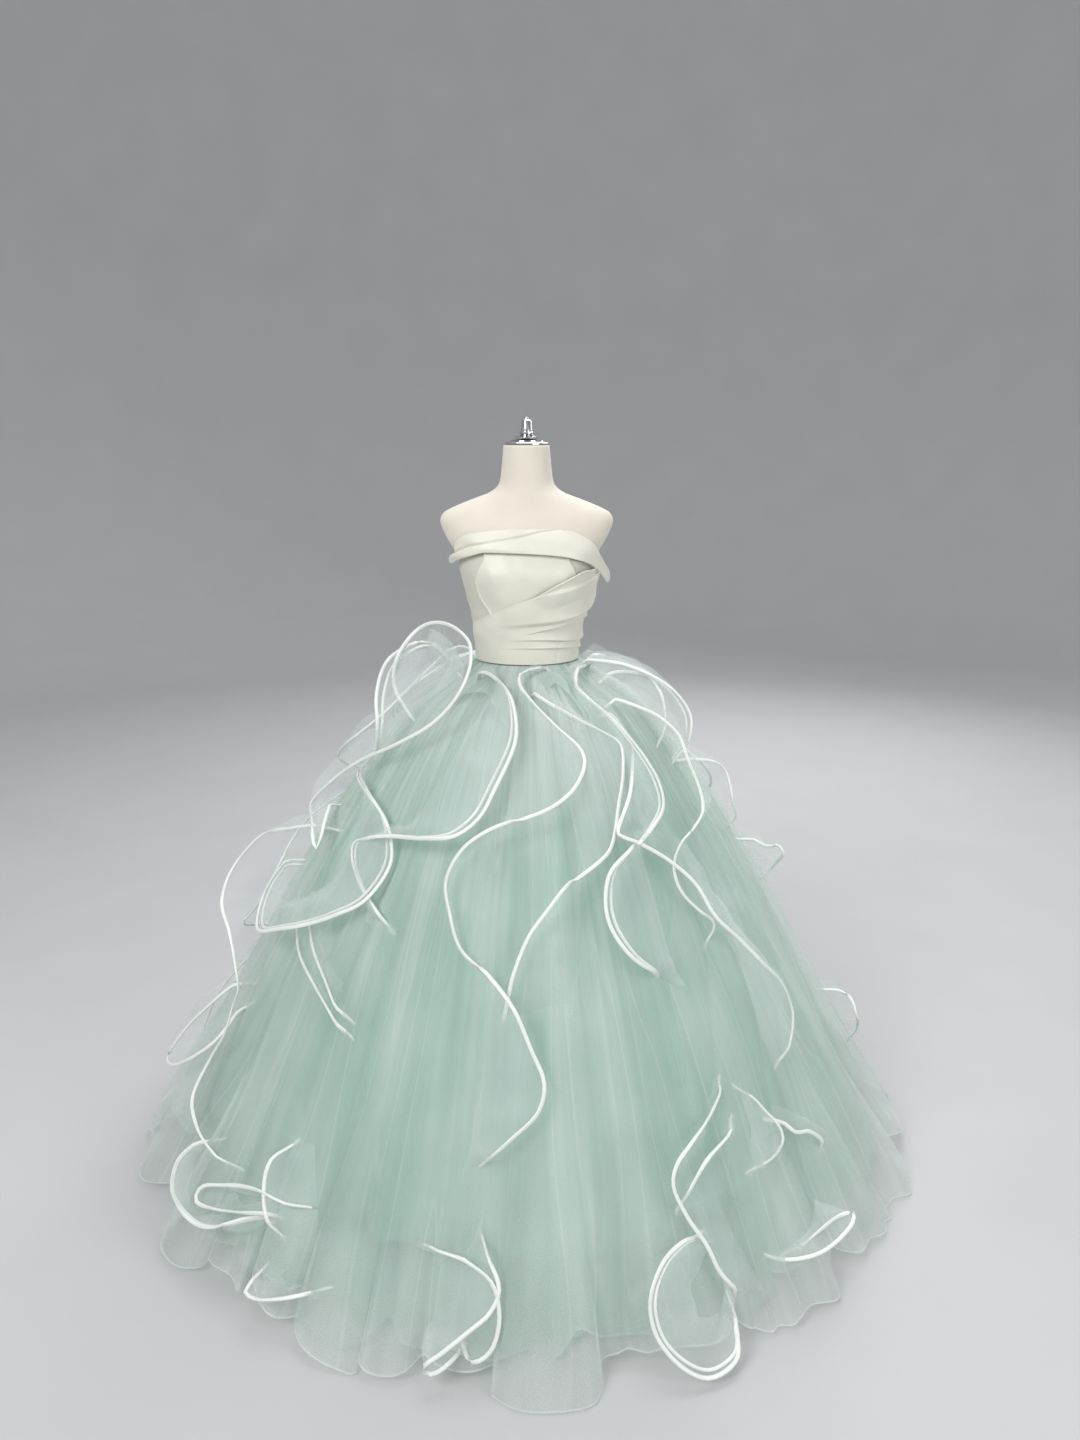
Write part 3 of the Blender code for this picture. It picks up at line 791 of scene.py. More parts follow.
def skirt_folds(azimuth, height, seed, gather, fold, flare):
    """How far a layer's folds push it out: pinched at the waist, broad below and flared at the hem."""
    down = 1 - height / WAIST_HEIGHT
    wander = azimuth + WANDER * skirt_wave("wander", seed, azimuth, height)
    depth = 0.65 + 0.45 * skirt_wave("depth", seed, azimuth, height)
    pleats = gather * ramp(down, 0.0, 0.03) * np.exp(-down / 0.18)
    pleats = pleats * skirt_wave("pleats", seed, azimuth, height)
    tucks = TUCK_DEPTH * ramp(down, 0.01, 0.09) * np.exp(-down / 0.24)
    tucks = tucks * creased(skirt_wave("tucks", seed, wander, height))
    creases = 0.8 * fold * depth * ramp(down, 0.05, 0.3)
    creases = creases * creased(skirt_wave("creases", seed, wander, height))
    broad = (fold + 0.3 * flare * down) * ramp(down, 0.04, 0.6) * skirt_wave("folds", seed, wander, height)
    lobes = flare * ramp(down, LOBES_FROM, 1.0) * skirt_wave("lobes", seed, azimuth, height)
    scallops = 0.35 * flare * ramp(down, SCALLOPS_FROM, 1.0) * skirt_wave("scallops", seed, azimuth)
    push = pleats + tucks + creases + broad + lobes + scallops
    return FOLD_LIMIT * np.tanh(push / FOLD_LIMIT)


def skirt_surface(layer, azimuth, height):
    """Points on a folded skirt layer. Towards the hem its crests spread and its valleys pinch together."""
    column, extra, seed, gather, fold, flare = layer
    down = 1 - height / WAIST_HEIGHT
    radius = read(SKIRT_RADII, column, height) + extra * ramp(down, 0, 0.4)
    radius = radius + skirt_folds(azimuth, height, seed, gather, fold, flare)
    spread = 1.15 * flare * ramp(down, LOBES_FROM, 1.0)
    spread = spread * skirt_wave("lobes", seed, azimuth, height, math.pi / 2)
    angle = np.radians(azimuth) + spread / np.maximum(radius, 0.1)
    return round_point(angle, radius, radius * read(SKIRT_OVAL, 1, height), height + 0 * radius)


def hem_line(azimuth, seed, low, high):
    """Height of a layer's uneven hem."""
    swell = 0.36 * skirt_wave("hem_swell", seed, azimuth)
    ripple = 0.26 * skirt_wave("hem_ripple", seed, azimuth)
    return low + (high - low) * np.clip(0.45 + swell + ripple, 0, 1)


# column of SKIRT_RADII, extra radius, seed, depth of the waist gathers, of the folds and of the hem's flare
LINING_LAYER = (LINING, 0.0, 100, 0.0012, 0.007, 0.012)
INNER_LAYER = (INNER, 0.0, 200, 0.0014, 0.008, 0.020)
MIDDLE_LAYER = (INNER, 0.045, 300, 0.0014, 0.008, 0.026)
OUTER_LAYER = (OUTER, 0.004, 400, 0.0014, 0.007, 0.028)
# name, replaced node, layer, panels, columns and rows of a panel, lowest and highest hem, finish, slot,
# flat width and length of a panel's cut and its area
SKIRT_PLIES = [
    ("lining", "lining", LINING_LAYER, 4, 96, 60, 0.020, 0.060, "lining", "lining_mint", (1.15, 1.23, 0.95)),
    ("inner_tulle", "inner_tulle", INNER_LAYER, 4, 180, 80, 0.006, 0.034, "inner",
     "tulle", (1.50, 1.30, 1.18)),
    ("middle_tulle", "outer_tulle", MIDDLE_LAYER, 6, 150, 80, 0.005, 0.036, "middle",
     "tulle", (1.05, 1.32, 0.86)),
    ("outer_tulle", "outer_tulle", OUTER_LAYER, 6, 190, 100, 0.004, 0.040, "outer",
     "tulle", (1.10, 1.36, 0.90)),
]


def build_skirt():
    """The lining and the plies of tulle, each in panels that meet at seams down the skirt."""
    for name, node, layer, panels, columns, rows, low, high, finish, slot, cut in SKIRT_PLIES:
        width = 360 / panels
        share = np.linspace(0, 1, rows)[:, None]
        for number in range(panels):
            start = FIRST_SEAM_AZIMUTH + number * width
            azimuth = np.linspace(start, start + width, columns)[None, :]
            hem = hem_line(azimuth, layer[2], low, high)
            height = WAIST_HEIGHT + (hem - WAIST_HEIGHT) * share
            points = skirt_surface(layer, azimuth + 0 * height, height)
            points[..., 2] = np.maximum(points[..., 2], CLOTH_FLOOR)
            uv = np.stack(np.broadcast_arrays(azimuth * SKIRT_SWEEP / 360, height - hem), -1)
            piece = add_surface(f"{name}_panel_{number + 1}", points[::-1], FINISHES[finish], uv[::-1])
            declare(piece, f"{node}_{number + 1}")


# ---------------------------------------------------------------- ruffles

# Each path: height and azimuth of the seam, height, azimuth and lift of the free edge, from the top down.
RUFFLE_PATHS = {
    "left_outer": [
        (1.055, -66, 0.983, -61, 0.05), (1.058, -65, 1.0, -68, 0.08), (1.06, -64, 1.016, -67, 0.11),
        (1.062, -63, 1.03, -67, 0.13), (1.062, -62, 1.054, -66, 0.14), (1.062, -61, 1.068, -57, 0.14),
        (1.06, -60, 1.066, -41, 0.135), (1.058, -60, 1.057, -32, 0.12), (1.052, -60, 1.037, -27, 0.11),
        (1.045, -61, 1.02, -25, 0.1), (1.03, -63, 0.999, -28, 0.08), (1.0, -68, 0.966, -36, 0.06),
        (0.96, -75, 0.924, -50, 0.05), (0.92, -80, 0.876, -66, 0.045), (0.87, -84, 0.8, -80, 0.05),
        (0.84, -85, 0.75, -82, 0.06), (0.82, -85, 0.74, -70, 0.06), (0.79, -85, 0.71, -61, 0.05),
        (0.77, -85, 0.75, -68, 0.04), (0.75, -84, 0.78, -80, 0.03),
    ],
    "left_outer_low": [
        (0.76, -76, 0.75, -68, 0.03), (0.73, -79, 0.7, -77, 0.07), (0.68, -81, 0.63, -86, 0.115),
        (0.61, -82, 0.545, -86, 0.135), (0.56, -82, 0.515, -77, 0.13), (0.53, -82, 0.5, -66, 0.11),
        (0.49, -81, 0.464, -61, 0.09), (0.45, -80, 0.431, -60, 0.07), (0.4, -79, 0.395, -62, 0.055),
        (0.34, -77, 0.338, -62, 0.045), (0.24, -74, 0.28, -64, 0.04), (0.17, -70, 0.21, -62, 0.05),
        (0.13, -67, 0.19, -57, 0.05), (0.1, -64, 0.18, -52, 0.04), (0.07, -60, 0.17, -47, 0.02),
    ],
    "left_front": [
        (1.06, -56, 1.058, -59, 0.04), (1.062, -57, 1.058, -61, 0.07), (1.062, -58, 1.054, -63, 0.1),
        (1.06, -59, 1.039, -64, 0.12), (1.058, -60, 1.028, -68, 0.12), (1.052, -61, 1.014, -70, 0.12),
        (1.045, -61, 0.997, -70, 0.11), (1.03, -62, 0.969, -67, 0.09), (1.0, -63, 0.937, -64, 0.06),
        (0.96, -64, 0.905, -67, 0.03), (0.93, -65, 0.874, -74, 0.015), (0.9, -66, 0.85, -73, 0.02),
        (0.87, -64, 0.834, -55, 0.03), (0.83, -61, 0.812, -44, 0.03), (0.78, -58, 0.78, -38, 0.028),
        (0.73, -54, 0.74, -36, 0.02), (0.69, -54, 0.672, -38, 0.035), (0.66, -56, 0.633, -43, 0.05),
        (0.64, -58, 0.598, -49, 0.06), (0.62, -60, 0.564, -56, 0.07), (0.6, -63, 0.532, -64, 0.07),
        (0.59, -65, 0.54, -68, 0.068), (0.59, -67, 0.58, -76, 0.06), (0.6, -68, 0.64, -85, 0.035),
    ],
    "left_front_low": [
        (0.62, -54, 0.58, -63, 0.01), (0.6, -51, 0.561, -57, 0.02), (0.57, -48, 0.54, -52, 0.025),
        (0.53, -43, 0.507, -43, 0.025), (0.5, -38, 0.472, -36, 0.022), (0.48, -36, 0.45, -33, 0.015),
    ],
    "left_front_inner": [
        (0.64, -52, 0.6, -59, 0.01), (0.62, -49, 0.582, -53, 0.02), (0.59, -46, 0.559, -48, 0.025),
        (0.56, -42, 0.522, -41, 0.025), (0.53, -38, 0.494, -37, 0.022), (0.5, -36, 0.475, -34, 0.015),
    ],
    "front_left": [
        (1.074, -34, 1.058, -44, 0.012), (1.076, -29, 1.064, -34, 0.025), (1.068, -24, 1.053, -20, 0.03),
        (1.045, -21, 1.028, -9, 0.035), (1.02, -22, 1.001, -5, 0.035), (0.985, -25, 0.955, -4, 0.04),
        (0.93, -28, 0.88, -9, 0.05), (0.88, -31, 0.83, -12, 0.06), (0.84, -33, 0.8, -17, 0.065),
        (0.81, -35, 0.79, -25, 0.06), (0.8, -37, 0.784, -35, 0.05), (0.79, -39, 0.77, -43, 0.045),
        (0.77, -40, 0.75, -48, 0.04), (0.74, -40, 0.728, -47, 0.035), (0.71, -40, 0.697, -42, 0.03),
        (0.67, -39, 0.654, -34, 0.022), (0.64, -38, 0.63, -31, 0.015),
    ],
    "front_centre": [
        (1.078, 0, 1.08, 27, 0.012), (1.076, -1, 1.08, 13, 0.015), (1.07, -2, 1.07, -2, 0.02),
        (1.06, -3, 1.05, -4, 0.025), (1.04, -3, 1.02, 3, 0.03), (1.0, -4, 0.98, 12, 0.035),
        (0.97, -4, 0.94, 19, 0.04), (0.94, -4, 0.92, 19, 0.045), (0.9, -5, 0.88, 14, 0.055),
        (0.87, -5, 0.85, 7, 0.06), (0.83, -5, 0.83, -1, 0.065), (0.79, -6, 0.81, -9, 0.06),
        (0.75, -6, 0.78, -15, 0.05), (0.71, -6, 0.73, -18, 0.04), (0.67, -6, 0.68, -16, 0.035),
        (0.63, -6, 0.63, -13, 0.03), (0.57, -6, 0.59, -7, 0.04), (0.51, -7, 0.54, -2, 0.05),
        (0.46, -7, 0.48, 1, 0.045), (0.42, -7, 0.43, 3, 0.04), (0.38, -8, 0.39, 2, 0.04),
        (0.34, -8, 0.35, -2, 0.035), (0.29, -9, 0.3, -7, 0.02),
    ],
    "front_centre_low": [
        (0.24, -6, 0.21, -6, 0.02), (0.2, -7, 0.17, -4, 0.03), (0.16, -8, 0.14, -3, 0.035),
        (0.12, -8, 0.11, -4, 0.037), (0.1, -9, 0.088, -6, 0.04), (0.08, -10, 0.055, -9, 0.041),
        (0.065, -11, 0.032, -11, 0.04), (0.06, -11, 0.025, -10, 0.036), (0.065, -10, 0.043, -8, 0.024),
        (0.075, -9, 0.06, -7, 0.01),
    ],
    "front_right": [
        (1.065, 10, 1.05, 3, 0.012), (1.055, 10, 1.04, 5, 0.015), (1.04, 11, 1.02, 13, 0.02),
        (1.02, 12, 0.99, 23, 0.03), (0.99, 13, 0.96, 32, 0.035), (0.96, 14, 0.94, 35, 0.04),
        (0.92, 14, 0.9, 32, 0.04), (0.87, 14, 0.85, 27, 0.04), (0.82, 14, 0.78, 21, 0.045),
        (0.78, 14, 0.76, 17, 0.05), (0.74, 13, 0.73, 10, 0.055), (0.7, 13, 0.69, 5, 0.05),
        (0.66, 12, 0.65, 1, 0.04), (0.61, 11, 0.59, -2, 0.03), (0.57, 10, 0.55, -3, 0.02),
        (0.53, 9, 0.52, -4, 0.015),
    ],
    "right_inner": [
        (1.078, 35, 1.07, 72, 0.02), (1.07, 33, 1.07, 45, 0.02), (1.055, 31, 1.04, 31, 0.025),
        (1.035, 31, 1.02, 32, 0.03), (1.0, 31, 0.98, 37, 0.04), (0.97, 31, 0.94, 40, 0.045),
        (0.93, 32, 0.91, 42, 0.045), (0.89, 32, 0.87, 43, 0.045), (0.85, 32, 0.83, 41, 0.045),
        (0.82, 32, 0.8, 34, 0.05), (0.78, 32, 0.77, 26, 0.05), (0.75, 32, 0.74, 20, 0.045),
        (0.71, 32, 0.7, 18, 0.04), (0.67, 32, 0.66, 18, 0.04), (0.62, 32, 0.61, 21, 0.04),
        (0.58, 32, 0.58, 25, 0.035), (0.54, 33, 0.56, 29, 0.03),
    ],
    "right_inner_low": [
        (0.4, 33, 0.385, 36, 0.008), (0.38, 32, 0.364, 33, 0.016), (0.35, 30, 0.333, 29, 0.022),
        (0.32, 29, 0.307, 25, 0.03), (0.29, 28, 0.282, 22, 0.032), (0.26, 28, 0.257, 21, 0.032),
        (0.22, 28, 0.212, 22, 0.032), (0.17, 29, 0.161, 24, 0.032), (0.13, 30, 0.12, 25, 0.03),
        (0.095, 31, 0.083, 27, 0.024), (0.075, 32, 0.062, 28, 0.01),
    ],
    "right_inner_mid": [
        (0.33, 35, 0.318, 36, 0.006), (0.31, 34, 0.299, 33, 0.013), (0.29, 33, 0.278, 28, 0.02),
        (0.265, 32, 0.254, 25, 0.02), (0.24, 31, 0.228, 23, 0.013), (0.215, 30, 0.205, 22, 0.005),
    ],
    "right_hem_loop": [
        (0.15, 25, 0.17, 26, 0.008), (0.15, 23, 0.173, 23, 0.02), (0.145, 22, 0.175, 21, 0.032),
        (0.135, 21, 0.161, 18, 0.04), (0.12, 20, 0.136, 16, 0.045), (0.105, 20, 0.109, 15, 0.045),
        (0.09, 20, 0.073, 15, 0.045), (0.08, 20, 0.043, 16, 0.045), (0.075, 21, 0.012, 18, 0.047),
        (0.075, 22, -0.005, 20, 0.05), (0.075, 23, -0.004, 22, 0.05), (0.08, 24, 0.008, 24, 0.044),
        (0.09, 25, 0.033, 25, 0.032), (0.105, 26, 0.055, 26, 0.02), (0.12, 26, 0.08, 27, 0.008),
    ],
    "right_front": [
        (1.045, 38, 1.01, 39, 0.02), (1.01, 40, 0.98, 42, 0.025), (0.97, 42, 0.94, 42, 0.03),
        (0.93, 43, 0.91, 38, 0.035), (0.88, 44, 0.86, 32, 0.04), (0.83, 44, 0.81, 25, 0.045),
        (0.81, 44, 0.8, 24, 0.05), (0.79, 45, 0.78, 29, 0.05), (0.76, 46, 0.74, 36, 0.05),
        (0.72, 46, 0.69, 41, 0.05), (0.67, 47, 0.63, 43, 0.05), (0.63, 47, 0.58, 47, 0.05),
        (0.59, 48, 0.52, 51, 0.05), (0.54, 48, 0.47, 54, 0.048), (0.49, 48, 0.42, 54, 0.042),
        (0.455, 48, 0.392, 52, 0.036), (0.425, 47, 0.369, 50, 0.028), (0.395, 47, 0.341, 49, 0.016),
    ],
    "right_front_low": [
        (0.37, 38, 0.362, 38, 0.006), (0.35, 37, 0.342, 39, 0.014), (0.32, 37, 0.308, 40, 0.025),
        (0.295, 37, 0.281, 41, 0.032), (0.27, 36, 0.256, 41, 0.032), (0.25, 36, 0.24, 39, 0.028),
        (0.235, 35, 0.231, 37, 0.016), (0.222, 34, 0.224, 35, 0.006),
    ],
    "right_hem_edge": [
        (0.12, 36, 0.104, 34, 0.008), (0.115, 38, 0.094, 35, 0.02), (0.112, 40, 0.087, 37, 0.035),
        (0.112, 42, 0.08, 40, 0.042), (0.115, 44, 0.08, 44, 0.045), (0.118, 45, 0.085, 47, 0.045),
        (0.122, 44, 0.093, 48, 0.042), (0.122, 42, 0.102, 46, 0.035), (0.12, 40, 0.102, 41, 0.028),
        (0.118, 38, 0.094, 38, 0.018), (0.116, 37, 0.088, 36, 0.006),
    ],
    "right_outer": [
        (1.07, 62, 1.02, 43, 0.03), (1.04, 64, 0.99, 53, 0.045), (1.01, 66, 0.96, 58, 0.06),
        (0.97, 67, 0.92, 61, 0.065), (0.93, 68, 0.88, 59, 0.06), (0.88, 68, 0.83, 59, 0.05),
        (0.84, 67, 0.8, 57, 0.045), (0.81, 66, 0.78, 50, 0.045), (0.78, 65, 0.76, 42, 0.04),
        (0.74, 64, 0.73, 38, 0.035), (0.7, 63, 0.69, 38, 0.03), (0.67, 62, 0.65, 41, 0.03),
        (0.63, 62, 0.62, 44, 0.03), (0.6, 61, 0.58, 43, 0.02),
    ],
    "right_back": [
        (1.08, 75, 1.085, 56, 0.02), (1.078, 77, 1.064, 65, 0.04), (1.07, 80, 1.041, 68, 0.06),
        (1.055, 83, 1.013, 68, 0.08), (1.03, 85, 0.978, 71, 0.09), (1.0, 86, 0.942, 70, 0.09),
        (0.965, 86, 0.92, 67, 0.08), (0.93, 85, 0.897, 66, 0.05), (0.9, 84, 0.88, 67, 0.025),
    ],
    "right_back_inner": [
        (1.075, 66, 1.052, 60, 0.02), (1.065, 72, 1.037, 74, 0.04), (1.05, 78, 1.017, 79, 0.055),
        (1.025, 80, 0.993, 73, 0.06), (0.995, 78, 0.963, 68, 0.05), (0.965, 76, 0.937, 64, 0.034),
        (0.94, 74, 0.915, 64, 0.014),
    ],
    "right_back_loop": [
        (0.92, 82, 0.895, 71, 0.012), (0.895, 86, 0.871, 75, 0.027), (0.87, 89, 0.846, 79, 0.052),
        (0.84, 91, 0.817, 83, 0.062), (0.805, 92, 0.79, 80, 0.056), (0.775, 91, 0.766, 78, 0.046),
        (0.74, 90, 0.732, 80, 0.034), (0.705, 88, 0.705, 83, 0.016),
    ],
    "right_back_point": [
        (0.7, 88, 0.69, 86, 0.014), (0.675, 90, 0.664, 86, 0.032), (0.662, 92, 0.655, 80, 0.058),
        (0.645, 93, 0.653, 76, 0.088), (0.635, 93, 0.643, 75, 0.092), (0.618, 92, 0.622, 79, 0.066),
        (0.6, 91, 0.597, 84, 0.04), (0.575, 89, 0.57, 86, 0.014),
    ],
    "right_back_low": [
        (0.32, 88, 0.315, 87, 0.014), (0.29, 91, 0.283, 86, 0.042), (0.265, 92, 0.276, 82, 0.054),
        (0.24, 92, 0.262, 80, 0.052), (0.215, 91, 0.23, 83, 0.044), (0.18, 90, 0.185, 87, 0.03),
        (0.15, 89, 0.15, 88, 0.012),
    ],
    "waist_flap_left": [
        (1.03, -46, 0.993, -46, 0.01), (1.05, -43, 1.012, -42, 0.018), (1.065, -36, 1.025, -36, 0.023),
        (1.07, -30, 1.031, -29, 0.025), (1.07, -23, 1.031, -22, 0.025), (1.062, -18, 1.019, -17, 0.02),
        (1.05, -12, 1.002, -11, 0.014), (1.035, -9, 0.985, -8, 0.008),
    ],
    "waist_flap_right": [
        (1.075, 14, 1.048, 13, 0.01), (1.077, 18, 1.053, 16, 0.016), (1.075, 24, 1.05, 20, 0.019),
        (1.066, 30, 1.04, 23, 0.018), (1.05, 34, 1.022, 26, 0.016), (1.03, 37, 1.0, 28, 0.013),
        (1.005, 40, 0.97, 30, 0.008),
    ],
    "waist_peak": [
        (1.086, 72, 1.086, 78, 0.006), (1.083, 78, 1.086, 85, 0.045), (1.072, 84, 1.062, 89, 0.05),
        (1.06, 88, 1.035, 88, 0.06), (1.04, 90, 1.005, 84, 0.065), (1.01, 90, 0.965, 80, 0.05),
        (0.98, 88, 0.94, 78, 0.02),
    ],
    "front_hem_loop": [
        (0.19, -15, 0.182, -14, 0.01), (0.18, -13, 0.18, -10, 0.02), (0.17, -11, 0.172, -7, 0.03),
        (0.15, -10, 0.15, -4, 0.035), (0.12, -10, 0.12, -3, 0.035), (0.09, -10, 0.085, -3, 0.03),
        (0.06, -10, 0.055, -4, 0.025), (0.05, -10, 0.042, -6, 0.02), (0.05, -11, 0.065, -8, 0.015),
    ],
    "right_short": [
        (0.3, 44, 0.288, 42, 0.006), (0.285, 46, 0.274, 44, 0.013), (0.268, 48, 0.251, 45, 0.02),
        (0.25, 50, 0.236, 48, 0.022), (0.22, 53, 0.2, 51, 0.015), (0.19, 54, 0.172, 52, 0.006),
    ],
    "left_hem_loop": [
        (0.19, -54, 0.185, -55, 0.012), (0.16, -54, 0.166, -56, 0.032), (0.13, -53, 0.122, -57, 0.05),
        (0.11, -51, 0.088, -55, 0.055), (0.1, -49, 0.08, -51, 0.055), (0.1, -46, 0.085, -46, 0.05),
        (0.105, -43, 0.109, -42, 0.042), (0.11, -41, 0.129, -40, 0.026), (0.12, -39, 0.145, -38, 0.01),
    ],
    "left_hem_fold": [
        (0.17, -36, 0.15, -36, 0.008), (0.165, -38, 0.15, -38, 0.016), (0.155, -41, 0.131, -42, 0.03),
        (0.15, -43, 0.114, -46, 0.042), (0.15, -44, 0.108, -49, 0.047), (0.155, -44, 0.126, -49, 0.047),
        (0.165, -43, 0.156, -45, 0.042), (0.175, -40, 0.181, -39, 0.038), (0.18, -36, 0.184, -34, 0.028),
        (0.182, -33, 0.186, -31, 0.012),
    ],
    "left_back_low": [
        (0.4, -74, 0.41, -72, 0.01), (0.38, -76, 0.377, -74, 0.03), (0.34, -78, 0.317, -74, 0.06),
        (0.3, -80, 0.246, -76, 0.075), (0.26, -80, 0.187, -76, 0.08), (0.25, -78, 0.2, -72, 0.075),
        (0.27, -74, 0.268, -66, 0.062), (0.3, -72, 0.319, -64, 0.045), (0.34, -70, 0.367, -66, 0.022),
        (0.37, -70, 0.395, -68, 0.008),
    ],
    "left_low": [
        (0.27, -34, 0.27, -38, 0.02), (0.23, -33, 0.22, -39, 0.03), (0.19, -32, 0.18, -38, 0.03),
        (0.15, -31, 0.15, -36, 0.03), (0.11, -30, 0.12, -34, 0.02),
    ],
    "left_hem_edge": [
        (0.09, -33, 0.082, -36, 0.008), (0.08, -33, 0.07, -36, 0.018), (0.072, -32, 0.057, -35, 0.035),
        (0.065, -31, 0.046, -35, 0.04), (0.063, -30, 0.046, -33, 0.04), (0.068, -28, 0.062, -30, 0.035),
        (0.08, -26, 0.081, -27, 0.02), (0.09, -25, 0.092, -25, 0.008),
    ],
}
# name, node stem, plies, cut width, whether its top end dives like a seam sewn into the waist
FRONT_RUFFLES = [
    ("left_outer", "left_outer", 1, 0.20, True),
    ("left_outer_low", "left_outer", 1, 0.16, False),
    ("left_front", "left_front", 2, 0.16, True),
    ("left_front_low", "left_front", 1, 0.10, False),
    ("left_front_inner", "left_front", 1, 0.09, False),
    ("front_left", "front_left", 2, 0.15, True),
    ("front_centre", "front_centre", 1, 0.15, True),
    ("front_centre_low", "front_centre", 1, 0.08, False),
    ("front_right", "front_right", 1, 0.15, True),
    ("right_inner", "right_inner", 2, 0.13, True),
    ("right_inner_low", "right_inner", 1, 0.09, False),
    ("right_inner_mid", "right_inner", 1, 0.07, False),
    ("right_hem_loop", "right_inner", 2, 0.08, False),
    ("right_front", "right_front", 1, 0.15, True),
    ("right_front_low", "right_front", 1, 0.08, False),
    ("right_hem_edge", "right_front", 1, 0.06, False),
    ("right_outer", "right_outer", 1, 0.16, True),
    ("right_back", "right_back", 2, 0.17, True),
    ("right_back_inner", "right_back", 1, 0.12, True),
    ("right_back_loop", "right_back", 1, 0.10, False),
    ("right_back_point", "right_back", 1, 0.12, False),
    ("right_back_low", "right_back", 1, 0.09, False),
    ("front_hem_loop", "front_centre", 1, 0.07, False),
    ("right_short", "right_front", 1, 0.06, False),
    ("left_back_low", "left_back", 1, 0.15, False),
    ("left_hem_loop", "left_front", 2, 0.08, False),
    ("left_hem_fold", "left_front", 1, 0.08, False),
    ("left_low", "front_left", 1, 0.08, False),
    ("left_hem_edge", "front_left", 1, 0.06, False),
]
# name, node stem, cut width, finish; their free edges are raw
RAW_FLAPS = [
    ("waist_peak", "right_back", 0.10, "ruffle"),
    ("waist_flap_left", "front_left", 0.06, "flap"),
    ("waist_flap_right", "front_right", 0.06, "flap"),
]
# name, azimuth at the waist, azimuth at the hem, plies
BACK_RUFFLES = [
    ("left_back", -101, -106, 1),
    ("back_right", 130, 133, 1),
    ("back_right_centre", 163, 162, 2),
    ("back_left_centre", -166, -164, 1),
    ("back_left", -134, -135, 2),
]
# height, side that the free edge swings to (-1 left, 1 right), reach in metres, lift
BACK_SWINGS = [
    (1.080, -1.0, 0.050, 0.015),
    (1.040, -0.2, 0.060, 0.040),
    (0.970, 1.0, 0.100, 0.040),
    (0.850, 0.3, 0.100, 0.065),
    (0.760, -1.0, 0.130, 0.045),
    (0.640, -0.3, 0.110, 0.070),
    (0.520, 1.0, 0.140, 0.045),
    (0.400, 0.2, 0.110, 0.070),
    (0.290, -1.0, 0.130, 0.045),
    (0.170, 0.1, 0.090, 0.055),
    (0.070, 0.8, 0.080, 0.030),
]
SEAM_LIFT = 0.004
PLY_GAP = 0.002
PLY_SHORTENING = 0.11   # how much less far an under ply reaches
END_DEPTH = 0.014       # how far under the outer tulle a free edge runs at its ends
END_FADE = 0.045        # the length over which it dives there
TOP_FADE = 0.025        # and at a top end that is sewn into the waist
STATION_STEP = 0.011
CROSS_POINTS = 17
BOW_LIMIT = 0.045       # the furthest that its cloth stands out between its edges
# depth and pitch of each kind of unevenness along a ruffle
PLEAT_DEPTH, PLEAT_PITCH = 0.0020, 0.030
CRIMP_DEPTH, CRIMP_PITCH = 0.0006, 0.011
SWAY_DEPTH, SWAY_PITCH = 0.004, 0.11
BACK_WIDTH = 0.15
FRONT_SEED = 1000
FLAP_SEED = 2900
BACK_SEED = 3000
BACK_PATH_SEED = 77
BINDING_WIDTH = 0.0078
BINDING_THICKNESS = 0.0050
BINDING_FLOOR = 0.0015
BINDING_AROUND = 10


def outer_point(azimuth, height, lift):
    """Points off the outer tulle's smooth form, lifted square to it."""
    azimuth, height, lift = np.broadcast_arrays(azimuth, height, lift)
    level = np.clip(height, 0.004, WAIST_HEIGHT - 0.005)
    up = skirt_ring(OUTER, azimuth, level + 0.004) - skirt_ring(OUTER, azimuth, level - 0.004)
    right = skirt_ring(OUTER, azimuth + 0.5, level) - skirt_ring(OUTER, azimuth - 0.5, level)
    return skirt_ring(OUTER, azimuth, height) + unit(np.cross(right, up)) * lift[..., None]


def square_out(azimuth, height):
    """The direction square to the outer tulle's smooth form."""
    return outer_point(azimuth, height, 1.0) - outer_point(azimuth, height, 0.0)


def blend(first, second, start, end, at):
    """What lies between two values, the first at start and the second at end."""
    return (end - at) / (end - start) * first + (at - start) / (end - start) * second


def spline(points, step):
    """A smooth curve through points, any number of columns each, at even steps of the first three."""
    points = np.asarray(points, float)
    gaps = np.linalg.norm(np.diff(points[:, :3], axis=0), axis=1) ** 0.5 + 1e-4
    times = np.concatenate([[0], np.cumsum(gaps)])
    padded = np.vstack([2 * points[0] - points[1], points, 2 * points[-1] - points[-2]])
    knots = np.concatenate([[times[0] - gaps[0]], times, [times[-1] + gaps[-1]]])
    dense = []
    for i in range(1, len(padded) - 2):
        early, start, end, late = knots[i - 1:i + 3]
        at = np.linspace(start, end, 40, endpoint=False)[:, None]
        before = blend(padded[i - 1], padded[i], early, start, at)
        within = blend(padded[i], padded[i + 1], start, end, at)
        beyond = blend(padded[i + 1], padded[i + 2], end, late, at)
        leaving = blend(before, within, early, end, at)
        arriving = blend(within, beyond, start, late, at)
        dense.append(blend(leaving, arriving, start, end, at))
    dense = np.vstack(dense + [points[-1:]])
    along = length_along(dense[:, :3])
    places = np.linspace(0, along[-1], max(8, int(along[-1] / step)))
    return np.stack([np.interp(places, along, column) for column in dense.T], -1), places


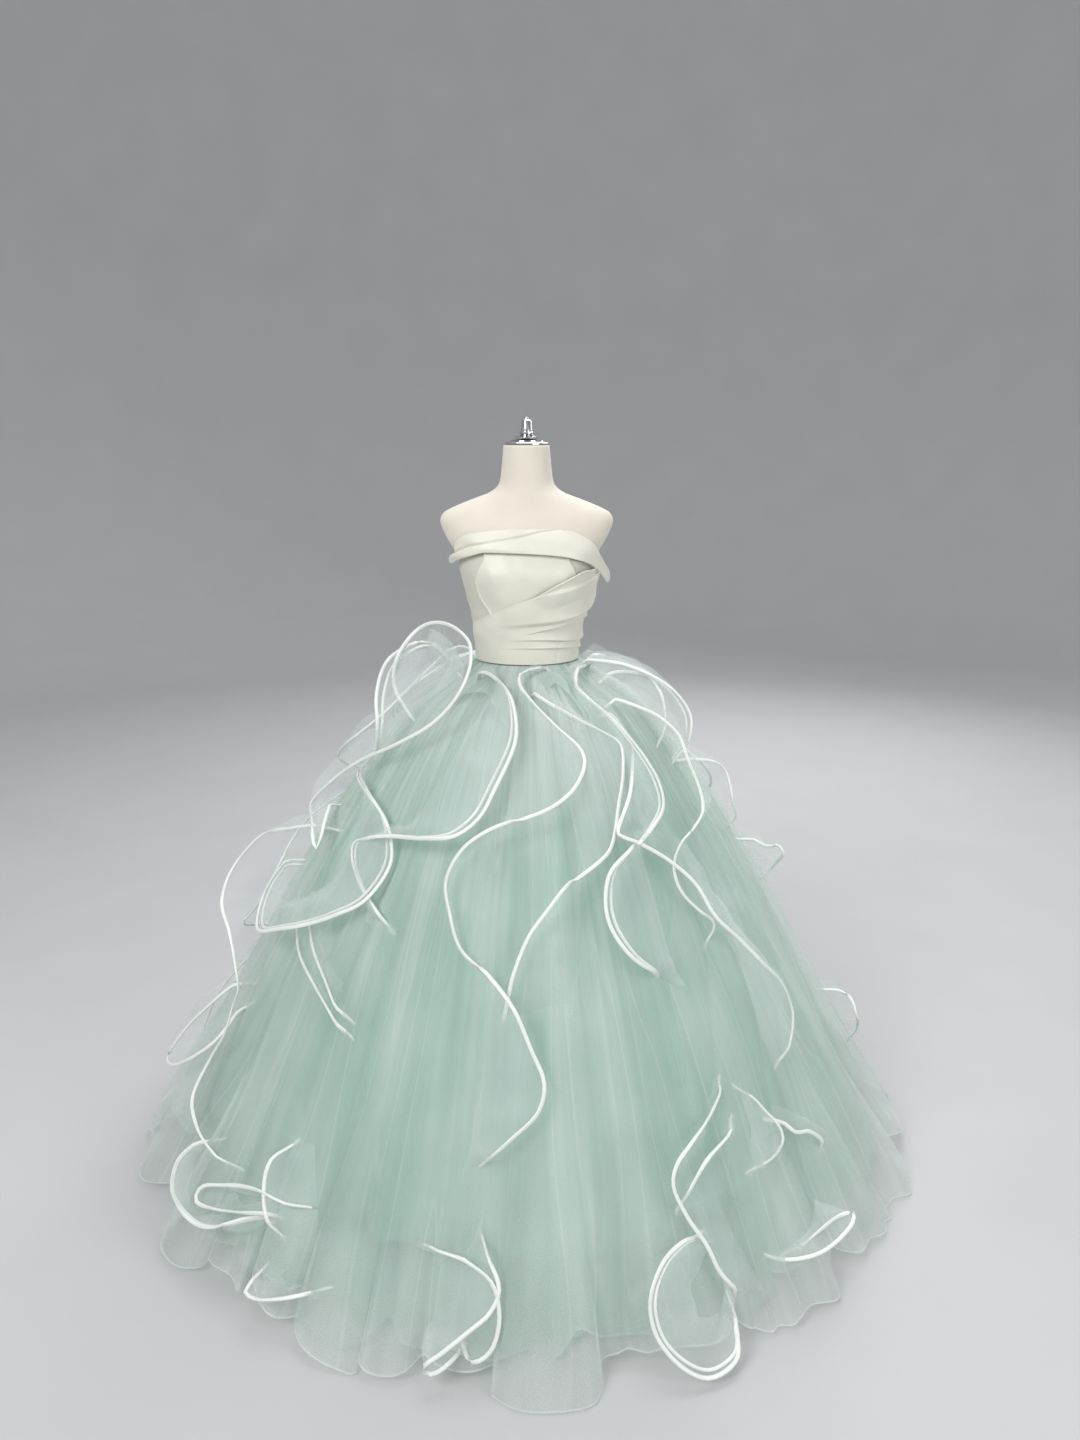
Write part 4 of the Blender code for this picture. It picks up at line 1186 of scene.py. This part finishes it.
def ruffle_grid(rows, width, sewn_top, ply, seed):
    """The surface of one ply of a ruffle from its seam to its free edge, and its stations' places."""
    seam_at, seam_azimuth, edge_at, edge_azimuth, edge_lift = np.array(rows, float).T
    edge = outer_point(edge_azimuth, edge_at, edge_lift)
    path, along = spline(np.column_stack([edge, seam_at, seam_azimuth, edge_lift]), STATION_STEP)
    free = path[:, :3]
    seam_height = np.minimum(path[:, 3], WAIST_HEIGHT - 0.002)
    outward = unit(square_out(path[:, 4], seam_height))
    seam = skirt_surface(OUTER_LAYER, path[:, 4], seam_height) + outward * (SEAM_LIFT + PLY_GAP * ply)

    # the free edge dives under the outer tulle at its ends
    top_fade = TOP_FADE if sewn_top else END_FADE
    ends = ramp(along, 0, top_fade) * ramp(along, along[-1], along[-1] - END_FADE)
    sink = (path[:, 5] + END_DEPTH) * (1 - ends)
    dive = square_out(azimuth_of(free), free[:, 2]) * sink[:, None]
    free = seam + (free - seam) * (1 - PLY_SHORTENING * ply) - dive

    # the cloth bows out between its edges where it is wider than the gap between them
    chord = free - seam
    length = np.linalg.norm(chord, axis=1)
    spare = np.maximum(0.0, 1 - length / width)
    bow = np.minimum(BOW_LIMIT, 0.55 * length * np.sqrt(spare)) * ends * (1 - 0.25 * ply)
    square = unit(outward - unit(chord) * (outward * unit(chord)).sum(1)[:, None])
    share = np.linspace(0, 1, CROSS_POINTS)
    hump = 3.0 * share * (1 - share) ** 0.8
    grid = seam[:, None] + chord[:, None] * share[None, :, None]
    grid = grid + (square * bow[:, None])[:, None] * hump[None, :, None]

    # pleats and crimps spread from the seam, and a slow sway fills the middle
    normals = unit(np.cross(np.gradient(grid, axis=0), np.gradient(grid, axis=1)))
    size = np.minimum(1, length / 0.10)[:, None]
    pleats = PLEAT_DEPTH * long_wave(along, PLEAT_PITCH, seed)[:, None] * (share * np.exp(-share * 2.2) * 3.2)
    crimps = CRIMP_DEPTH * long_wave(along, CRIMP_PITCH, seed + 1)[:, None] * (share * np.exp(-share * 5) * 6)
    sway = SWAY_DEPTH * long_wave(along, SWAY_PITCH, seed + 2)[:, None] * np.sin(math.pi * share)
    grid = grid + normals * ((pleats + crimps + sway) * size * (1 - share ** 6))[..., None]
    grid[..., 2] = np.maximum(grid[..., 2], CLOTH_FLOOR)
    return grid, along


def add_binding(name, grid, width, thickness):
    """Adds a flat satin tube over the free edge of a ruffle."""
    edge = grid[:, -1]
    tangent = unit(np.gradient(edge, axis=0))
    out = unit(edge - grid[:, -4])
    for smoothing in range(4):
        out[1:-1] = unit(out[:-2] + 2 * out[1:-1] + out[2:])
    out = unit(out - tangent * (out * tangent).sum(1)[:, None])
    thick = np.cross(tangent, out)
    centre = edge + out * width / 4
    turn = np.linspace(0, 2 * math.pi, BINDING_AROUND, endpoint=False)
    flat = np.sign(np.cos(turn)) * np.abs(np.cos(turn)) ** 0.7 * width / 2
    proud = np.sin(turn) * thickness / 2
    sections = centre[:, None] + out[:, None] * flat[None, :, None] + thick[:, None] * proud[None, :, None]
    sections[..., 2] = np.maximum(sections[..., 2], BINDING_FLOOR)
    uv = np.stack(np.broadcast_arrays(length_along(edge)[:, None], turn[None, :] * 0.002), -1)
    return add_band(name, sections, FINISHES["binding"], uv)


def add_ruffle(name, stem, rows, width, plies, sewn_top, seed, bound=True, finish="ruffle"):
    """Adds the plies of one stretch of ruffle, each with its binding unless its edge is raw."""
    for ply in range(plies):
        label = name if ply == 0 else f"{name}_under"
        grid, along = ruffle_grid(rows, width, sewn_top, ply, seed + 10 * ply)
        if bound:
            binding_width = BINDING_WIDTH * (1 - 0.2 * ply)
            binding = add_binding(f"{label}_binding", grid, binding_width, BINDING_THICKNESS)
            declare(binding, f"binding_{stem}")
        uv = np.stack([azimuth_of(grid) * SKIRT_SWEEP / 360, grid[..., 2]], -1)
        piece = add_surface(f"{label}_ruffle", grid, FINISHES[finish], uv)
        declare(piece, f"ruffle_{stem}")


def back_rows(top_azimuth, hem_azimuth, seed):
    """The path of a ruffle on the hidden side, with its own unevenness."""
    source = np.random.default_rng(seed)
    rows = []
    for height, side, reach, lift in BACK_SWINGS:
        drop = 0.012 * source.normal() * (height < 1.05)
        level = min(1.078, max(0.05, height + drop))
        azimuth = hem_azimuth + (top_azimuth - hem_azimuth) * level / WAIST_HEIGHT
        radius = float(read(SKIRT_RADII, OUTER, level))
        turn = math.degrees(side * reach * source.uniform(0.85, 1.15) / radius)
        rows.append((level, azimuth, max(0.02, level - 0.03 * (level < 1.0)), azimuth + turn, lift))
    return rows


def build_ruffles():
    """The cascades from the waist to the hem."""
    for number, (name, stem, plies, width, sewn_top) in enumerate(FRONT_RUFFLES):
        add_ruffle(name, stem, RUFFLE_PATHS[name], width, plies, sewn_top, FRONT_SEED + 50 * number)
    for number, (name, stem, width, finish) in enumerate(RAW_FLAPS):
        rows = RUFFLE_PATHS[name]
        add_ruffle(name, stem, rows, width, 1, True, FLAP_SEED + 10 * number, bound=False, finish=finish)
    for number, (name, top_azimuth, hem_azimuth, plies) in enumerate(BACK_RUFFLES):
        rows = back_rows(top_azimuth, hem_azimuth, BACK_PATH_SEED + number)
        add_ruffle(name, name, rows, BACK_WIDTH, plies, True, BACK_SEED + 50 * number)


# ---------------------------------------------------------------- studio

BACKDROP_FLAT = 5.0     # radius of the level floor
BACKDROP_BEND = 2.0     # radius of the bend that carries it up into the wall
BACKDROP_TOP = 6.0
BACKDROP_SIDES = 72
# name, place, height of the point on the axis that it faces, size, power
STUDIO_LIGHTS = [
    ("key", (-2.3, -3.4, 3.6), 0.9, 2.0, 124),
    ("fill", (3.0, -2.6, 2.2), 0.8, 2.4, 52),
    ("top", (0.3, 0.9, 4.2), 0.9, 2.6, 58),
    ("rear", (1.6, 3.6, 3.0), 0.8, 2.4, 70),
]
SKY_COLOUR = (0.92, 0.95, 1.0)
SKY_STRENGTH = 0.50
CAMERA_PLACE = (0.0285, -2.35, 1.555)
CAMERA_TILT = 75.5      # degrees up from straight down
LENS_LENGTH = 27.05     # in millimetres, like the sensor
SENSOR_WIDTH = 36


def add_area_light(name, place, aim_height, size, power):
    """A soft square light that faces a point on the upright axis."""
    lamp = bpy.data.lights.new(name, "AREA")
    lamp.size = size
    lamp.energy = power
    light = bpy.data.objects.new(name, lamp)
    direction = np.array([0, 0, aim_height], float) - np.array(place, float)
    yaw = math.atan2(direction[0], -direction[1])
    pitch = math.atan2(math.hypot(direction[0], direction[1]), -direction[2])
    light.location = place
    light.rotation_euler = (pitch, 0, yaw + math.pi)
    bpy.context.scene.collection.objects.link(light)


def build_studio():
    """The backdrop, which is one smooth bowl, the lights and the camera."""
    profile = [(0.001, 0.0), (BACKDROP_FLAT, 0.0)]
    for turn in np.radians(np.arange(6, 91, 6)):
        out = BACKDROP_FLAT + BACKDROP_BEND * math.sin(turn)
        profile.append((out, BACKDROP_BEND - BACKDROP_BEND * math.cos(turn)))
    profile.append((BACKDROP_FLAT + BACKDROP_BEND, BACKDROP_TOP))
    rings = turned(profile, BACKDROP_SIDES)
    faces = grid_faces(len(profile), BACKDROP_SIDES, close_columns=True)
    floor = add_mesh("studio_floor", rings.reshape(-1, 3), faces, FINISHES["plaster"])
    floor.visible_shadow = False

    world = bpy.data.worlds.new("studio")
    world.use_nodes = True
    sky = world.node_tree.nodes["Background"]
    sky.inputs["Color"].default_value = (*SKY_COLOUR, 1)
    sky.inputs["Strength"].default_value = SKY_STRENGTH
    bpy.context.scene.world = world
    for light in STUDIO_LIGHTS:
        add_area_light(*light)

    lens = bpy.data.cameras.new("camera")
    lens.lens = LENS_LENGTH
    lens.sensor_width = SENSOR_WIDTH
    camera = bpy.data.objects.new("camera", lens)
    camera.location = CAMERA_PLACE
    camera.rotation_euler = (math.radians(CAMERA_TILT), 0, 0)
    bpy.context.scene.collection.objects.link(camera)
    bpy.context.scene.camera = camera
    bpy.context.scene.view_settings.view_transform = "Standard"
    cycles = bpy.context.scene.cycles
    cycles.transparent_max_bounces = 20
    cycles.max_bounces = 5
    cycles.diffuse_bounces = 3


build_form()
build_bodice()
build_skirt()
build_ruffles()
build_studio()
